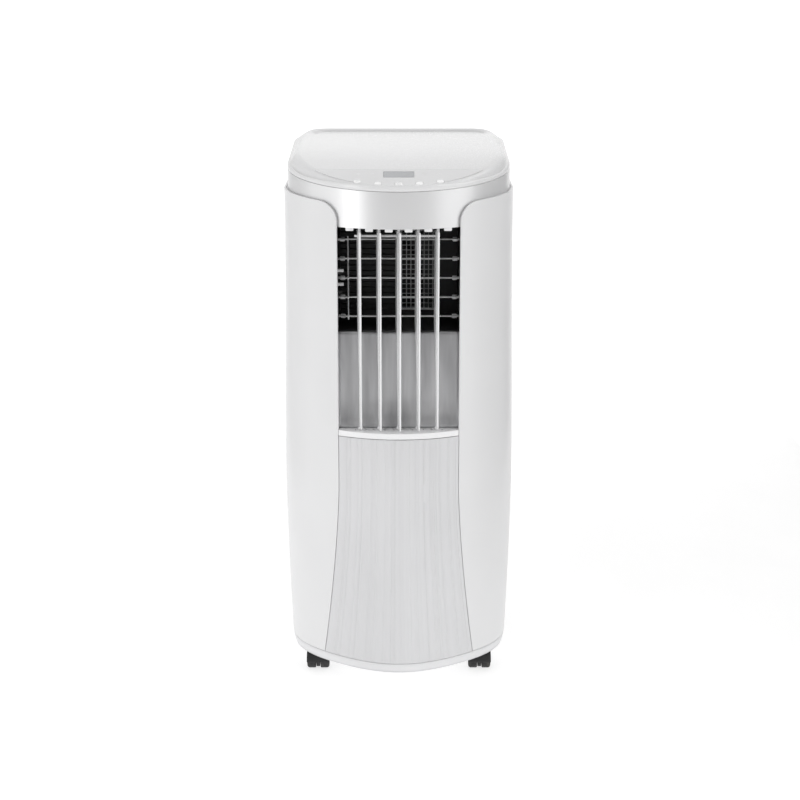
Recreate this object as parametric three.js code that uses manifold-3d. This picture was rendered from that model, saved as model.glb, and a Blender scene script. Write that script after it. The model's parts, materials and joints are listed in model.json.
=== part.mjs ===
// A portable air conditioner on four twin-wheel casters, as one group of named meshes.
// Millimetres, +Z up, the front faces -Y, the origin is under the middle of the machine on the floor.
import * as THREE from "three";
import { mergeVertices } from "three/addons/utils/BufferGeometryUtils.js";
import Module from "manifold-3d";

const wasm = await Module();
wasm.setup();

// ---------- driving dimensions ----------
const FRONT_Y = -202.5; // foremost line of the casing
const REAR_Y = 180; // outside of the rear panel
const REAR_MOST_Y = 202.5; // face of the exhaust collar
const WALL = 3; // casing thickness
const GAP = 1; // open joint between neighbouring panels
const CLEAR = 0.4; // clearance between pieces that nearly touch

const WIDEST_Z = 320; // height at which the casing is widest
const WIDEST_HALF = 188.5; // half width there
const UPRIGHT_Z = 750; // above this the sides are upright
const TOP_PULL = 5.3; // how much the half width has lost there
const BOTTOM_PULL = 7.7; // how much it has lost at the base
const FRONT_DEPTH = 170; // depth of the half-elliptical front
const FRONT_DEPTH_PULL = 10; // how much shallower that is at the base
const BASE_PINCH = 0.3; // how far the front's shoulders draw in at the base
const REAR_RADIUS = 40; // vertical rear corners

const SKIRT_BOTTOM_Z = 31;
const BASE_TOP_Z = 47; // top of the base tray, where the panels start
const PANEL_BOTTOM_Z = BASE_TOP_Z + GAP;
const REAR_SEAM_Y = 130; // side panels end here, the rear panel starts

const OPENING_HALF = 95.5; // half width of the air outlet opening
const OPENING_BOTTOM_Z = 428; // seam of the lower front panel
const LEDGE_Z = 438; // top of the ledge the vanes stand on
const BAND_BOTTOM_Z = 759;
const SHOULDER_Z = 768; // where the side panels' inner edge starts to curve outwards
const SHOULDER_RADIUS = 30;
const FLARE_START_Z = 350; // below this the lower front panel widens
const FLARE = 27;

const NECK_INSET = 6; // the neck under the lid stands back from the side panels
const PANEL_TOP_Z = 802.5; // top edge of the side and rear panels
const UPPER_REAR_Y = REAR_Y - 8.5; // the neck and lid stand back from the rear panel
const UPPER_REAR_RADIUS = 36;
const LID_GAP = 0.6;
const LID_LEAN = 7.5; // the lid's side walls lean in this much more than its front
const LID_TAPER = 8; // the lid's top is this much narrower towards its rear corners
const SEAM_Z = 815; // the lid's seam at the front
const SEAM_FRONT_SLOPE = 0.115;
const SEAM_REAR_SLOPE = 0.09;
const DUCT_BOTTOM_Z = 590;
const DUCT_TOP_Z = 762;
const DUCT_HALF = 95;
const DUCT_FRONT_Y = -143;
const DUCT_REAR_Y = -30;
const DUCT_SIDE_Y = -171; // front edge of the duct's side walls

const VANE_COUNT = 5;
const VANE_PITCH = 30;
const VANE_PIVOT_Y = -176;
const VANE_REST_DEG = 8; // the stored swing of the vertical vanes
const VANE_CRANK = 18; // from the pivot back to the link pin
const VANE_PIN_Z = 743;

const LOUVER_COUNT = 5;
const LOUVER_TOP_Z = 731;
const LOUVER_PITCH = 30.7;
const LOUVER_Y = -118;
const LOUVER_REST_DEG = -10; // rear edges hang low, so the air is thrown up
const LOUVER_CRANK = 17;
const ROD_X = -79;

const CONTROL_TILT = Math.atan(0.27); // slope of the control panel
const CONTROL_EDGE = [-196, 823.5]; // Y and Z of the control panel's front edge
const CONTROL_HALF = 165; // half axes of the arc that the panel's front edge follows
const CONTROL_REACH = 160;
const CONTROL_DEPTH = 66; // from there back to its straight rear edge
const LID_RISE = 29.1; // how much the lid still climbs behind the control panel
const LIP_RISE = 4.4; // height of the lip along the lid's rear edge
const LIP_START_Y = 130;
const LIP_FULL_Y = 158;
const BUTTON_COUNT = 5;
const BUTTON_PITCH = 31.5;
const BUTTON_RADIUS = 6;

const CASTER_X = 135.5;
const CASTER_FRONT_Y = -102;
const CASTER_REAR_Y = 112;
const CASTER_TRAIL = 8;
const CASTER_HALF_WIDTH = 19;
const WHEEL_RADIUS = 14;
const HOOD_RADIUS = 16.6;

const PORT = { x: 70, z: 440, radius: 72 }; // exhaust port in the rear panel
const UPPER_INTAKE = { low: 572, high: 792 };
const LOWER_INTAKE = { low: 92, high: 332 };
const INTAKE_HALF = 138;

// ---------- materials ----------
const paint = (color, roughness, metalness = 0) =>
  new THREE.MeshStandardMaterial({ color, roughness, metalness });
const WHITE = paint(0xeeeef0, 0.3);
const PEARL = paint(0xd9dadd, 0.25, 0.6);
const SILVER = paint(0x9a9a9c, 0.4, 0.7);
const LIGHT_GREY = paint(0xd2d2d4, 0.4);
const BLACK = paint(0x17171a, 0.6);
const RUBBER = paint(0x1b1b1d, 0.8);
const GREY = paint(0x8d9094, 0.5);
const COPPER = paint(0xb87333, 0.3, 0.9);
const ALUMINIUM = paint(0xb9bcc0, 0.35, 0.9);
const STEEL = paint(0x3a3d42, 0.45, 0.7);
const BOARD = paint(0x1f5a35, 0.5);
const SMOKE = paint(0xb4b7ba, 0.15);

// ---------- solids ----------
function solid(geometry, matrix) {
  const bare = geometry.index ? geometry.toNonIndexed() : geometry;
  for (const name of Object.keys(bare.attributes)) {
    if (name !== "position") bare.deleteAttribute(name);
  }
  if (matrix) bare.applyMatrix4(matrix);
  const merged = mergeVertices(bare, 1e-4);
  return new wasm.Manifold(
    new wasm.Mesh({
      numProp: 3,
      vertProperties: merged.attributes.position.array,
      triVerts: new Uint32Array(merged.index.array),
    }),
  );
}

function geometryOf(body) {
  const mesh = body.getMesh();
  const positions = new Float32Array(mesh.numVert * 3);
  for (let i = 0; i < mesh.numVert; i++) {
    const start = i * mesh.numProp;
    positions.set(mesh.vertProperties.subarray(start, start + 3), i * 3);
  }
  return new THREE.BufferGeometry()
    .setAttribute("position", new THREE.BufferAttribute(positions, 3))
    .setIndex(new THREE.BufferAttribute(mesh.triVerts, 1));
}

const join = (first, ...others) => others.reduce((a, b) => a.add(b), first);
const cut = (first, ...others) => others.reduce((a, b) => a.subtract(b), first);

function block(x0, x1, y0, y1, z0, z1, matrix) {
  const box = new THREE.BoxGeometry(x1 - x0, y1 - y0, z1 - z0);
  box.translate((x0 + x1) / 2, (y0 + y1) / 2, (z0 + z1) / 2);
  return solid(box, matrix);
}

function extruded(outline, depth, basis) {
  const shape = new THREE.Shape(outline.map(([u, v]) => new THREE.Vector2(u, v)));
  const geometry = new THREE.ExtrudeGeometry(shape, { depth, bevelEnabled: false, steps: 1 });
  return solid(geometry, basis);
}

// An outline of [x, y] drawn up from z0 to z1.
function extrudeZ(outline, z0, z1, matrix = new THREE.Matrix4()) {
  return extruded(outline, z1 - z0, matrix.clone().multiply(new THREE.Matrix4().makeTranslation(0, 0, z0)));
}

// An outline of [x, z] drawn from y0 to y1.
function extrudeY(outline, y0, y1) {
  const turn = new THREE.Matrix4().makeRotationX(Math.PI / 2);
  return extruded(outline, y1 - y0, new THREE.Matrix4().makeTranslation(0, y1, 0).multiply(turn));
}

// An outline of [y, z] drawn from x0 to x1.
function extrudeX(outline, x0, x1) {
  const turn = new THREE.Matrix4().makeBasis(
    new THREE.Vector3(0, 1, 0),
    new THREE.Vector3(0, 0, 1),
    new THREE.Vector3(1, 0, 0),
  );
  return extruded(outline, x1 - x0, turn.setPosition(x0, 0, 0));
}

// A round bar between two points.
function bar(from, to, radius, sides = 12) {
  const a = new THREE.Vector3(...from);
  const b = new THREE.Vector3(...to);
  const along = b.clone().sub(a);
  const turn = new THREE.Quaternion().setFromUnitVectors(
    new THREE.Vector3(0, 1, 0),
    along.clone().normalize(),
  );
  const centre = a.add(b).multiplyScalar(0.5);
  const matrix = new THREE.Matrix4().compose(centre, turn, new THREE.Vector3(1, 1, 1));
  return solid(new THREE.CylinderGeometry(radius, radius, along.length(), sides), matrix);
}

// A profile of [radius, height] turned about an axis through `at` that runs along "y" or "z".
function turned(profile, at, axis, sides = 24) {
  const points = profile.map(([r, h]) => new THREE.Vector2(r, h));
  const geometry = new THREE.LatheGeometry(points, sides);
  if (axis === "z") geometry.rotateX(Math.PI / 2);
  if (axis === "x") geometry.rotateZ(-Math.PI / 2);
  geometry.translate(...at);
  return solid(geometry);
}

// A tube of one radius that follows points on a smooth curve.
function pipe(points, radius, steps, sides = 5) {
  const curve = new THREE.CatmullRomCurve3(points.map((p) => new THREE.Vector3(...p)));
  const section = new THREE.Shape();
  for (let i = 0; i < sides; i++) {
    const angle = (i / sides) * 2 * Math.PI;
    const point = [radius * Math.cos(angle), radius * Math.sin(angle)];
    if (i === 0) section.moveTo(...point);
    else section.lineTo(...point);
  }
  return solid(new THREE.ExtrudeGeometry(section, { steps, extrudePath: curve, bevelEnabled: false }));
}

// Rings of the same point count, each mirrored about x = 0 and starting at the front, stacked upwards.
function loft(rings) {
  const count = rings[0].length;
  const half = count / 2;
  const positions = [];
  const face = (...points) => positions.push(...points.flat());
  for (let r = 0; r + 1 < rings.length; r++) {
    for (let i = 0; i < count; i++) {
      const next = (i + 1) % count;
      const [a, b, c, d] = [rings[r][i], rings[r][next], rings[r + 1][next], rings[r + 1][i]];
      face(a, b, c);
      face(a, c, d);
    }
  }
  const cap = (ring, up) => {
    const triangle = (a, b, c) => (up ? face(a, b, c) : face(a, c, b));
    for (let i = 0; i < half; i++) {
      const mirror = (count - i) % count;
      const [a, b, c, d] = [ring[i], ring[i + 1], ring[(count - i - 1) % count], ring[mirror]];
      if (i + 1 !== count - i - 1) triangle(a, b, c);
      if (i > 0) triangle(a, c, d);
    }
  };
  cap(rings[0], false);
  cap(rings[rings.length - 1], true);
  const geometry = new THREE.BufferGeometry();
  geometry.setAttribute("position", new THREE.Float32BufferAttribute(positions, 3));
  return solid(geometry);
}

// ---------- the casing's outline ----------
const FRONT_STEPS = 9;
const REAR_STEPS = 3;

// The sides draw in along a long S above the widest height, and along a curve below it.
function halfWidth(z) {
  if (z > WIDEST_Z) {
    const share = Math.min((z - WIDEST_Z) / (UPRIGHT_Z - WIDEST_Z), 1);
    return WIDEST_HALF - TOP_PULL * share ** 2 * (3 - 2 * share);
  }
  return WIDEST_HALF - BOTTOM_PULL * ((WIDEST_Z - z) / (WIDEST_Z - BASE_TOP_Z)) ** 1.7;
}

// Below the outlet the front turns from a half ellipse into a more pointed arc.
function frontPinch(z) {
  const share = Math.max(0, (OPENING_BOTTOM_Z - z) / (OPENING_BOTTOM_Z - BASE_TOP_Z));
  return BASE_PINCH * share ** 1.3;
}

function frontDepth(z) {
  if (z > WIDEST_Z) return FRONT_DEPTH;
  return FRONT_DEPTH - FRONT_DEPTH_PULL * ((WIDEST_Z - z) / (WIDEST_Z - BASE_TOP_Z)) ** 2;
}

// One ring: half ellipse at the front, straight or tapering sides, rounded rear corners.
function ring({ a, b, centreY, rearY, radius, taper = 0, pinch = 0 }, height) {
  const right = [];
  for (let i = 0; i <= FRONT_STEPS; i++) {
    const angle = (i / FRONT_STEPS) * (Math.PI / 2);
    const drawn = 1 - pinch * (Math.sin(angle) * Math.cos(angle)) ** 2;
    right.push([a * Math.sin(angle), centreY - b * Math.cos(angle) * drawn]);
  }
  for (let i = 0; i <= REAR_STEPS; i++) {
    const angle = (i / REAR_STEPS) * (Math.PI / 2);
    right.push([
      a - taper - radius + radius * Math.cos(angle),
      rearY - radius + radius * Math.sin(angle),
    ]);
  }
  right.push([0, rearY]);
  const left = right.slice(1, -1).reverse().map(([x, y]) => [-x, y]);
  return [...right, ...left].map(([x, y]) => [x, y, height(y)]);
}

function casingRing(z, inset, rear = REAR_Y) {
  const depth = frontDepth(z);
  const shape = {
    a: halfWidth(z) - inset,
    b: depth - inset,
    centreY: FRONT_Y + depth,
    rearY: rear - inset,
    radius: REAR_RADIUS - inset,
    pinch: frontPinch(z),
  };
  return ring(shape, () => z);
}

// The outline of the neck and lid. Lean narrows all of it, and taper narrows its rear.
function lidRing(inset, height, lean = 0, taper = 0) {
  const shape = {
    a: halfWidth(PANEL_TOP_Z) - inset - lean,
    b: FRONT_DEPTH - inset,
    centreY: FRONT_Y + FRONT_DEPTH,
    rearY: UPPER_REAR_Y + NECK_INSET - inset,
    radius: UPPER_REAR_RADIUS + NECK_INSET - inset,
    taper,
  };
  return ring(shape, height);
}

function casing(levels, inset) {
  return loft(levels.map((z) => casingRing(z, inset)));
}

// The front of the casing at a given x, at the height of the outlet.
const frontAt = (x) => FRONT_Y + FRONT_DEPTH * (1 - Math.sqrt(1 - (x / WIDEST_HALF) ** 2));

// Half width of the centre strip: the outlet opening above, the flared lower panel below.
function seamHalf(z) {
  if (z >= FLARE_START_Z) return OPENING_HALF;
  return OPENING_HALF + FLARE * ((FLARE_START_Z - z) / (FLARE_START_Z - PANEL_BOTTOM_Z)) ** 1.5;
}

function seamPoints(fromZ, toZ, offset) {
  const points = [];
  const steps = 7;
  for (let i = 0; i <= steps; i++) {
    const z = fromZ + ((toZ - fromZ) * i) / steps;
    points.push([seamHalf(z) + offset, z]);
  }
  return points;
}

// Lid seam and lid top as heights over Y.
function seamHeight(y) {
  const back = y - FRONT_Y;
  const rear = Math.max(back - FRONT_DEPTH, 0);
  return SEAM_Z + SEAM_FRONT_SLOPE * (back - rear) + SEAM_REAR_SLOPE * rear;
}

// Everything above the lid's seam.
function aboveSeam() {
  const seam = [-220, FRONT_Y + FRONT_DEPTH, 220].map((y) => [y, seamHeight(y) - CLEAR]);
  return extrudeX([...seam, [220, 900], [-220, 900]], -260, 260);
}

function topHeight(y) {
  const back = y - CONTROL_EDGE[0];
  const slope = Math.tan(CONTROL_TILT);
  if (back < CONTROL_DEPTH) return CONTROL_EDGE[1] + slope * back;
  const level = 1 - Math.exp((-(back - CONTROL_DEPTH) * slope) / LID_RISE);
  return CONTROL_EDGE[1] + slope * CONTROL_DEPTH + LID_RISE * level;
}

// How far the lip along the lid's rear edge stands over the top.
function lipHeight(y) {
  const share = Math.min(Math.max((y - LIP_START_Y) / (LIP_FULL_Y - LIP_START_Y), 0), 1);
  return LIP_RISE * share ** 2 * (3 - 2 * share);
}

// ---------- the group ----------
const machine = new THREE.Group();

function add(name, body, material, place) {
  const mesh = new THREE.Mesh(geometryOf(body), material);
  mesh.name = name;
  if (place) {
    mesh.position.set(...place.position);
    if (place.rotation) mesh.rotation.set(...place.rotation);
  }
  machine.add(mesh);
}

// ---------- casing panels ----------
const LEVELS = [40, 110, 190, 320, 430, 600, 750, 810];
const shell = cut(casing(LEVELS, 0), casing([30, ...LEVELS.slice(1, -1), 820], WALL));

function sidePanelOutline() {
  const arc = [];
  for (let i = 0; i <= 5; i++) {
    const angle = Math.PI - (i / 5) * (Math.PI / 2);
    arc.push([
      OPENING_HALF + SHOULDER_RADIUS + SHOULDER_RADIUS * Math.cos(angle),
      SHOULDER_Z + SHOULDER_RADIUS * Math.sin(angle),
    ]);
  }
  const seam = seamPoints(PANEL_BOTTOM_Z, FLARE_START_Z, 0);
  return [...seam, ...arc, [200, PANEL_TOP_Z], [200, PANEL_BOTTOM_Z]];
}

// A grip moulded into each side panel: a cup that opens outwards.
const GRIP = { y0: 10, y1: 112, z0: 640, z1: 676, depth: 24 };

function sidePanel(side) {
  const outline = sidePanelOutline().map(([x, z]) => [x * side, z]);
  if (side < 0) outline.reverse();
  const panel = shell.intersect(extrudeY(outline, -260, REAR_SEAM_Y));
  const outer = halfWidth(GRIP.z0);
  const span = (from, to) => (side > 0 ? [from, to] : [-to, -from]);
  const [c0, c1] = span(outer - GRIP.depth, outer - 1.5);
  const [p0, p1] = span(outer - GRIP.depth + 2.5, outer + 20);
  const cup = block(c0, c1, GRIP.y0 - 2.5, GRIP.y1 + 2.5, GRIP.z0 - 2.5, GRIP.z1 + 2.5);
  const pocket = block(p0, p1, GRIP.y0, GRIP.y1, GRIP.z0, GRIP.z1);
  return cut(join(panel, cup), pocket);
}
add("side_panel_left", sidePanel(-1), WHITE);
add("side_panel_right", sidePanel(1), WHITE);

function lowerFrontPanel() {
  const right = seamPoints(PANEL_BOTTOM_Z, OPENING_BOTTOM_Z, -GAP);
  const left = [...right].reverse().map(([x, z]) => [-x, z]);
  return shell.intersect(extrudeY([...right, ...left], -260, -60));
}
add("lower_front_panel", lowerFrontPanel(), LIGHT_GREY);

function rearPanel() {
  const front = REAR_SEAM_Y + GAP;
  const wrap = shell.intersect(block(-200, 200, front, 200, PANEL_BOTTOM_Z, PANEL_TOP_Z));
  const upper = (inset, z0, z1) =>
    loft([lidRing(NECK_INSET + inset, () => z0), lidRing(NECK_INSET + inset, () => z1)]);
  const behind = block(-200, 200, front, 200, 700, 900);
  const upstand = cut(upper(0, 797, 880), upper(WALL, 790, 890), aboveSeam()).intersect(behind);
  const ledge = cut(loft([casingRing(797, 2), casingRing(801, 2)]), upper(WALL, 790, 810)).intersect(behind);
  const window = ({ low, high }) => block(-INTAKE_HALF, INTAKE_HALF, 150, 200, low, high);
  const port = bar([PORT.x, 150, PORT.z], [PORT.x, 200, PORT.z], PORT.radius + 4, 24);
  const drains = DRAINS.map(({ x, z }) => bar([x, 150, z], [x, 220, z], 6.5, 8));
  const spouts = DRAINS.map(({ x, z }) => bar([x, REAR_Y - 2, z], [x, REAR_Y + 6, z], 9.5, 12));
  const gland = bar([GLAND.x, 150, GLAND.z], [GLAND.x, 220, GLAND.z], GLAND.radius + CLEAR, 12);
  const body = join(wrap, upstand, ledge, ...spouts);
  return cut(body, window(UPPER_INTAKE), window(LOWER_INTAKE), port, gland, ...drains);
}
const DRAINS = [
  { x: -110, z: 500 },
  { x: 0, z: 68 },
];
const GLAND = { x: -150, z: 372, radius: 8 };
add("rear_panel", rearPanel(), WHITE);

// ---------- base ----------
const SWIVEL_TOP_Z = 36.6; // top of the flange that each caster turns on

function baseTray() {
  const skirt = cut(
    loft([casingRing(SKIRT_BOTTOM_Z, 2), casingRing(BASE_TOP_Z, 0)]),
    loft([casingRing(SKIRT_BOTTOM_Z - 4, 5), casingRing(BASE_TOP_Z - 3, 3)]),
  );
  const corners = [CASTER_FRONT_Y, CASTER_REAR_Y].flatMap((y) => [
    [-CASTER_X, y],
    [CASTER_X, y],
  ]);
  const bosses = corners.map(([x, y]) => bar([x, y, SWIVEL_TOP_Z + CLEAR], [x, y, BASE_TOP_Z - 1], 11, 12));
  const sockets = corners.map(([x, y]) => bar([x, y, 30], [x, y, 60], 5.6, 8));
  return cut(join(skirt, ...bosses), ...sockets);
}
add("base_tray", baseTray(), LIGHT_GREY);

// ---------- neck, ledge, deflector ----------
function frontBand() {
  const neck = (inset, z0, z1) =>
    loft([lidRing(inset, () => z0), lidRing(inset, () => z1)]);
  const wall = cut(neck(NECK_INSET, 740, 870), neck(NECK_INSET + WALL, 730, 880));
  const sides = cut(
    wall,
    block(-200, 200, REAR_SEAM_Y - 2, 260, 700, 900),
    block(-260, -OPENING_HALF - 4, -260, 260, 700, 786),
    block(OPENING_HALF + 4, 260, -260, 260, 700, 786),
    block(-260, 260, -260, 260, 700, BAND_BOTTOM_Z),
  );
  const trimmed = cut(sides, aboveSeam());
  const flange = [];
  for (let x = -92; x <= 92; x += 23) {
    flange.push([x, frontAt(x) + NECK_INSET + 1.5]);
  }
  const shelf = extrudeZ([...flange, [92, -165], [-92, -165]], BAND_BOTTOM_Z, BAND_BOTTOM_Z + 3);
  const tabs = [];
  for (let i = 0; i <= VANE_COUNT; i++) {
    const x = (i - VANE_COUNT / 2) * VANE_PITCH;
    const y = frontAt(x) + 10;
    tabs.push(block(x - 6, x + 6, y, y + 2, BAND_BOTTOM_Z - 5, BAND_BOTTOM_Z + 1));
  }
  const holes = vanePlaces().map((x) => bar([x, VANE_PIVOT_Y, 750], [x, VANE_PIVOT_Y, 766], 2.9, 6));
  return cut(join(trimmed, shelf, ...tabs), ...holes);
}

function vanePlaces() {
  return Array.from({ length: VANE_COUNT }, (_, i) => (i - (VANE_COUNT - 1) / 2) * VANE_PITCH);
}
add("upper_front_band", frontBand(), PEARL);

function vaneLedge() {
  const outline = (inset) => {
    const points = [];
    const half = OPENING_HALF - GAP;
    for (let i = 0; i <= 8; i++) {
      const x = -half + (2 * half * i) / 8;
      points.push([x, frontAt(x) + inset]);
    }
    return points;
  };
  const rear = -158;
  const plate = extrudeZ([...outline(0.5), [92.5, rear], [-92.5, rear]], LEDGE_Z - 3, LEDGE_Z);
  const lip = cut(
    extrudeZ([...outline(0.3), [92.5, -160], [-92.5, -160]], OPENING_BOTTOM_Z + 1, LEDGE_Z - 1),
    extrudeZ([...outline(3.3), [95, -150], [-95, -150]], OPENING_BOTTOM_Z, LEDGE_Z - 2),
  );
  const holes = vanePlaces().flatMap((x) => [
    bar([x, VANE_PIVOT_Y, 430], [x, VANE_PIVOT_Y, 445], 2.9, 6),
    block(x - 10, x - 6, VANE_PIVOT_Y - 3, VANE_PIVOT_Y + 3, 430, 445),
    block(x + 6, x + 10, VANE_PIVOT_Y - 3, VANE_PIVOT_Y + 3, 430, 445),
  ]);
  return cut(join(plate, lip), ...holes);
}
add("vane_ledge", vaneLedge(), WHITE);

function deflector() {
  const face = [
    [-143, DUCT_BOTTOM_Z - 3.2],
    [-154, 470],
    [-155.5, 456],
    [-157.3, LEDGE_Z - 6],
  ];
  const back = [...face].reverse().map(([y, z]) => [y + 2.5, z]);
  const sheet = extrudeX([...face, ...back].reverse(), -DUCT_HALF, DUCT_HALF);
  const cheek = (x0, x1) => block(x0, x1, DUCT_SIDE_Y, -143, LEDGE_Z + CLEAR, DUCT_BOTTOM_Z - 3.2);
  return join(sheet, cheek(-DUCT_HALF - 2, -DUCT_HALF + 0.5), cheek(DUCT_HALF - 0.5, DUCT_HALF + 2));
}
add("deflector_panel", deflector(), SILVER);

// ---------- outlet duct and guard ----------
const WINDOW = { x0: 6, x1: 62, z0: 604, z1: 738 };

function outletDuct() {
  const t = 2.5;
  const half = DUCT_HALF + t;
  const outer = block(-half, half, DUCT_SIDE_Y, DUCT_REAR_Y, DUCT_BOTTOM_Z - t, DUCT_TOP_Z + t);
  const hollow = block(-DUCT_HALF, DUCT_HALF, -200, DUCT_REAR_Y - t, DUCT_BOTTOM_Z, DUCT_TOP_Z);
  const lower = block(-DUCT_HALF, DUCT_HALF, -200, DUCT_FRONT_Y, 500, DUCT_BOTTOM_Z + 1);
  const upper = block(-200, 200, -200, -160, DUCT_TOP_Z - 10, 800);
  const window = block(WINDOW.x0, WINDOW.x1, -60, 0, WINDOW.z0, WINDOW.z1);
  const pivots = louverHeights().map((z) => bar([-110, LOUVER_Y, z], [110, LOUVER_Y, z], 2.9, 6));
  const stubs = [653, 684].map((z) => block(-DUCT_HALF - 1, -DUCT_HALF + 7, -150, -146, z - 2, z + 2));
  return join(cut(outer, hollow, lower, upper, window, ...pivots), ...stubs);
}

function louverHeights() {
  return Array.from({ length: LOUVER_COUNT }, (_, i) => LOUVER_TOP_Z - i * LOUVER_PITCH);
}
add("outlet_duct", outletDuct(), BLACK);

function outletGuard() {
  const { x0, x1, z0, z1 } = WINDOW;
  const y0 = DUCT_REAR_Y - 5.2;
  const y1 = DUCT_REAR_Y - 2.5 - 0.3;
  const rim = cut(block(x0 - 4, x1 + 4, y0, y1, z0 - 4, z1 + 4), block(x0, x1, -60, 0, z0, z1));
  const bars = [];
  for (let x = x0 + 14; x < x1; x += 14) bars.push(block(x - 1, x + 1, y0 + 0.4, y1, z0 - 1, z1 + 1));
  for (let z = z0 + 33.5; z < z1 - 5; z += 33.5) {
    bars.push(block(x0 - 1, x1 + 1, y0 + 0.8, y1 - 0.4, z - 1, z + 1));
  }
  return join(rim, ...bars);
}
add("outlet_guard", outletGuard(), GREY);

// ---------- vertical vanes and their link ----------
function vane(x) {
  const front = frontAt(Math.abs(x) + 3) + 7 - VANE_PIVOT_Y;
  const rear = 27.5;
  const profile = [
    [front, LEDGE_Z + 2],
    [3, LEDGE_Z + 2],
    [8, 520],
    [rear, 606],
    [rear, BAND_BOTTOM_Z - 8],
    [front, BAND_BOTTOM_Z - 6],
  ];
  const blade = cut(
    extrudeX(profile, -1.3, 1.3),
    block(-5, 5, VANE_CRANK - 5.5, 40, VANE_PIN_Z - 4, VANE_PIN_Z + 4),
  );
  const pivots = bar([0, 0, LEDGE_Z - 2], [0, 0, BAND_BOTTOM_Z + 2], 2.1, 6);
  const pin = bar([0, VANE_CRANK, VANE_PIN_Z - 5], [0, VANE_CRANK, VANE_PIN_Z + 5], 1.4, 6);
  return join(blade, pivots, pin);
}

vanePlaces().forEach((x, i) => {
  add(`vane_${i + 1}`, vane(x), WHITE, {
    position: [x, VANE_PIVOT_Y, 0],
    rotation: [0, 0, THREE.MathUtils.degToRad(VANE_REST_DEG)],
  });
});

const REST = THREE.MathUtils.degToRad(VANE_REST_DEG);
const LINK_X = -VANE_CRANK * Math.sin(REST);
const LINK_Y = VANE_PIVOT_Y + VANE_CRANK * Math.cos(REST);

function vaneLinkBar() {
  const body = block(-66, 66, -2.8, 2.8, -1.6, 1.6);
  const holes = vanePlaces().map((x) => bar([x, 0, -6], [x, 0, 6], 2, 6));
  return cut(body, ...holes);
}
add("vane_link_bar", vaneLinkBar(), LIGHT_GREY, { position: [LINK_X, LINK_Y, VANE_PIN_Z] });

// ---------- horizontal louvers, their rod and motor ----------
function louver(first) {
  const half = DUCT_HALF - 2;
  const section = [
    [-12, -0.7],
    [0, -1.3],
    [12, -0.5],
    [12, 0.5],
    [0, 1.3],
    [-12, 0.7],
  ];
  const blade = extrudeX(section, -half, half);
  const shaft = first ? DUCT_HALF + 10 : DUCT_HALF + 4;
  const pivots = [
    bar([-DUCT_HALF - 4, 0, 0], [-half + 5, 0, 0], 2.1, 6),
    bar([half - 5, 0, 0], [shaft, 0, 0], 2.1, 6),
  ];
  const tab = block(ROD_X - 4.5, ROD_X - 2.2, -LOUVER_CRANK - 2.2, -8, -1.2, 1.2);
  const pin = bar([ROD_X - 4, -LOUVER_CRANK, 0], [ROD_X + 2.6, -LOUVER_CRANK, 0], 1.1, 6);
  return join(blade, ...pivots, tab, pin);
}

const DRIVEN = 2; // the middle louver carries the motor's shaft
louverHeights().forEach((z, i) => {
  add(`louver_${i + 1}`, louver(i === DRIVEN), WHITE, {
    position: [0, LOUVER_Y, z],
    rotation: [THREE.MathUtils.degToRad(LOUVER_REST_DEG), 0, 0],
  });
});

function louverRod() {
  const span = (LOUVER_COUNT - 1) * LOUVER_PITCH;
  const body = block(-1.3, 1.3, -2.1, 2.1, -span - 5, 5);
  const holes = louverHeights().map((z) => {
    const at = z - LOUVER_TOP_Z;
    return bar([-5, 0, at], [5, 0, at], 1.7, 6);
  });
  return cut(body, ...holes);
}
const TILT = THREE.MathUtils.degToRad(LOUVER_REST_DEG);
add("louver_link_rod", louverRod(), WHITE, {
  position: [
    ROD_X,
    LOUVER_Y - LOUVER_CRANK * Math.cos(TILT),
    LOUVER_TOP_Z - LOUVER_CRANK * Math.sin(TILT),
  ],
});

function louverMotor() {
  const z = louverHeights()[DRIVEN];
  const x = DUCT_HALF + 3;
  const can = bar([x, LOUVER_Y, z], [x + 20, LOUVER_Y, z], 14, 20);
  const ears = block(x, x + 1.5, LOUVER_Y - 20, LOUVER_Y + 20, z - 4, z + 4);
  const plug = block(x + 4, x + 16, LOUVER_Y - 5, LOUVER_Y + 5, z - 18, z - 10);
  return cut(join(can, ears, plug), bar([x - 5, LOUVER_Y, z], [x + 9, LOUVER_Y, z], 2.7, 8));
}
add("louver_motor", louverMotor(), ALUMINIUM);

// ---------- lid ----------
const CONTROL_FRAME = new THREE.Matrix4()
  .makeTranslation(0, CONTROL_EDGE[0], CONTROL_EDGE[1])
  .multiply(new THREE.Matrix4().makeRotationX(CONTROL_TILT));

// The control panel's outline in its own tilted plane: a shallow arc closed by a straight chord.
function controlOutline(inset) {
  const a = CONTROL_HALF - inset;
  const b = CONTROL_REACH - inset;
  const centre = FRONT_Y + FRONT_DEPTH;
  const chordY = CONTROL_EDGE[0] + CONTROL_DEPTH - 0.5 - inset;
  const edge = a * Math.sqrt(1 - ((chordY - centre) / b) ** 2);
  const points = [];
  for (let i = 0; i <= 12; i++) {
    const x = -edge + (2 * edge * i) / 12;
    const y = centre - b * Math.sqrt(1 - (x / a) ** 2);
    points.push([x, (y - CONTROL_EDGE[0]) / Math.cos(CONTROL_TILT)]);
  }
  return points;
}

function buttonPlaces() {
  return Array.from({ length: BUTTON_COUNT }, (_, i) => {
    const x = (i - (BUTTON_COUNT - 1) / 2) * BUTTON_PITCH;
    const y = frontAt(x) + 17.5;
    return [x, (y - CONTROL_EDGE[0]) / Math.cos(CONTROL_TILT)];
  });
}

const buttonHoles = (radius, z0, z1) =>
  buttonPlaces().map(([x, y]) => {
    const round = new THREE.CylinderGeometry(radius, radius, z1 - z0, 10);
    round.rotateX(Math.PI / 2);
    round.translate(x, y, (z0 + z1) / 2);
    return solid(round, CONTROL_FRAME);
  });

const DISPLAY = { half: 24.5, y0: 36, y1: 57 };

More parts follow.
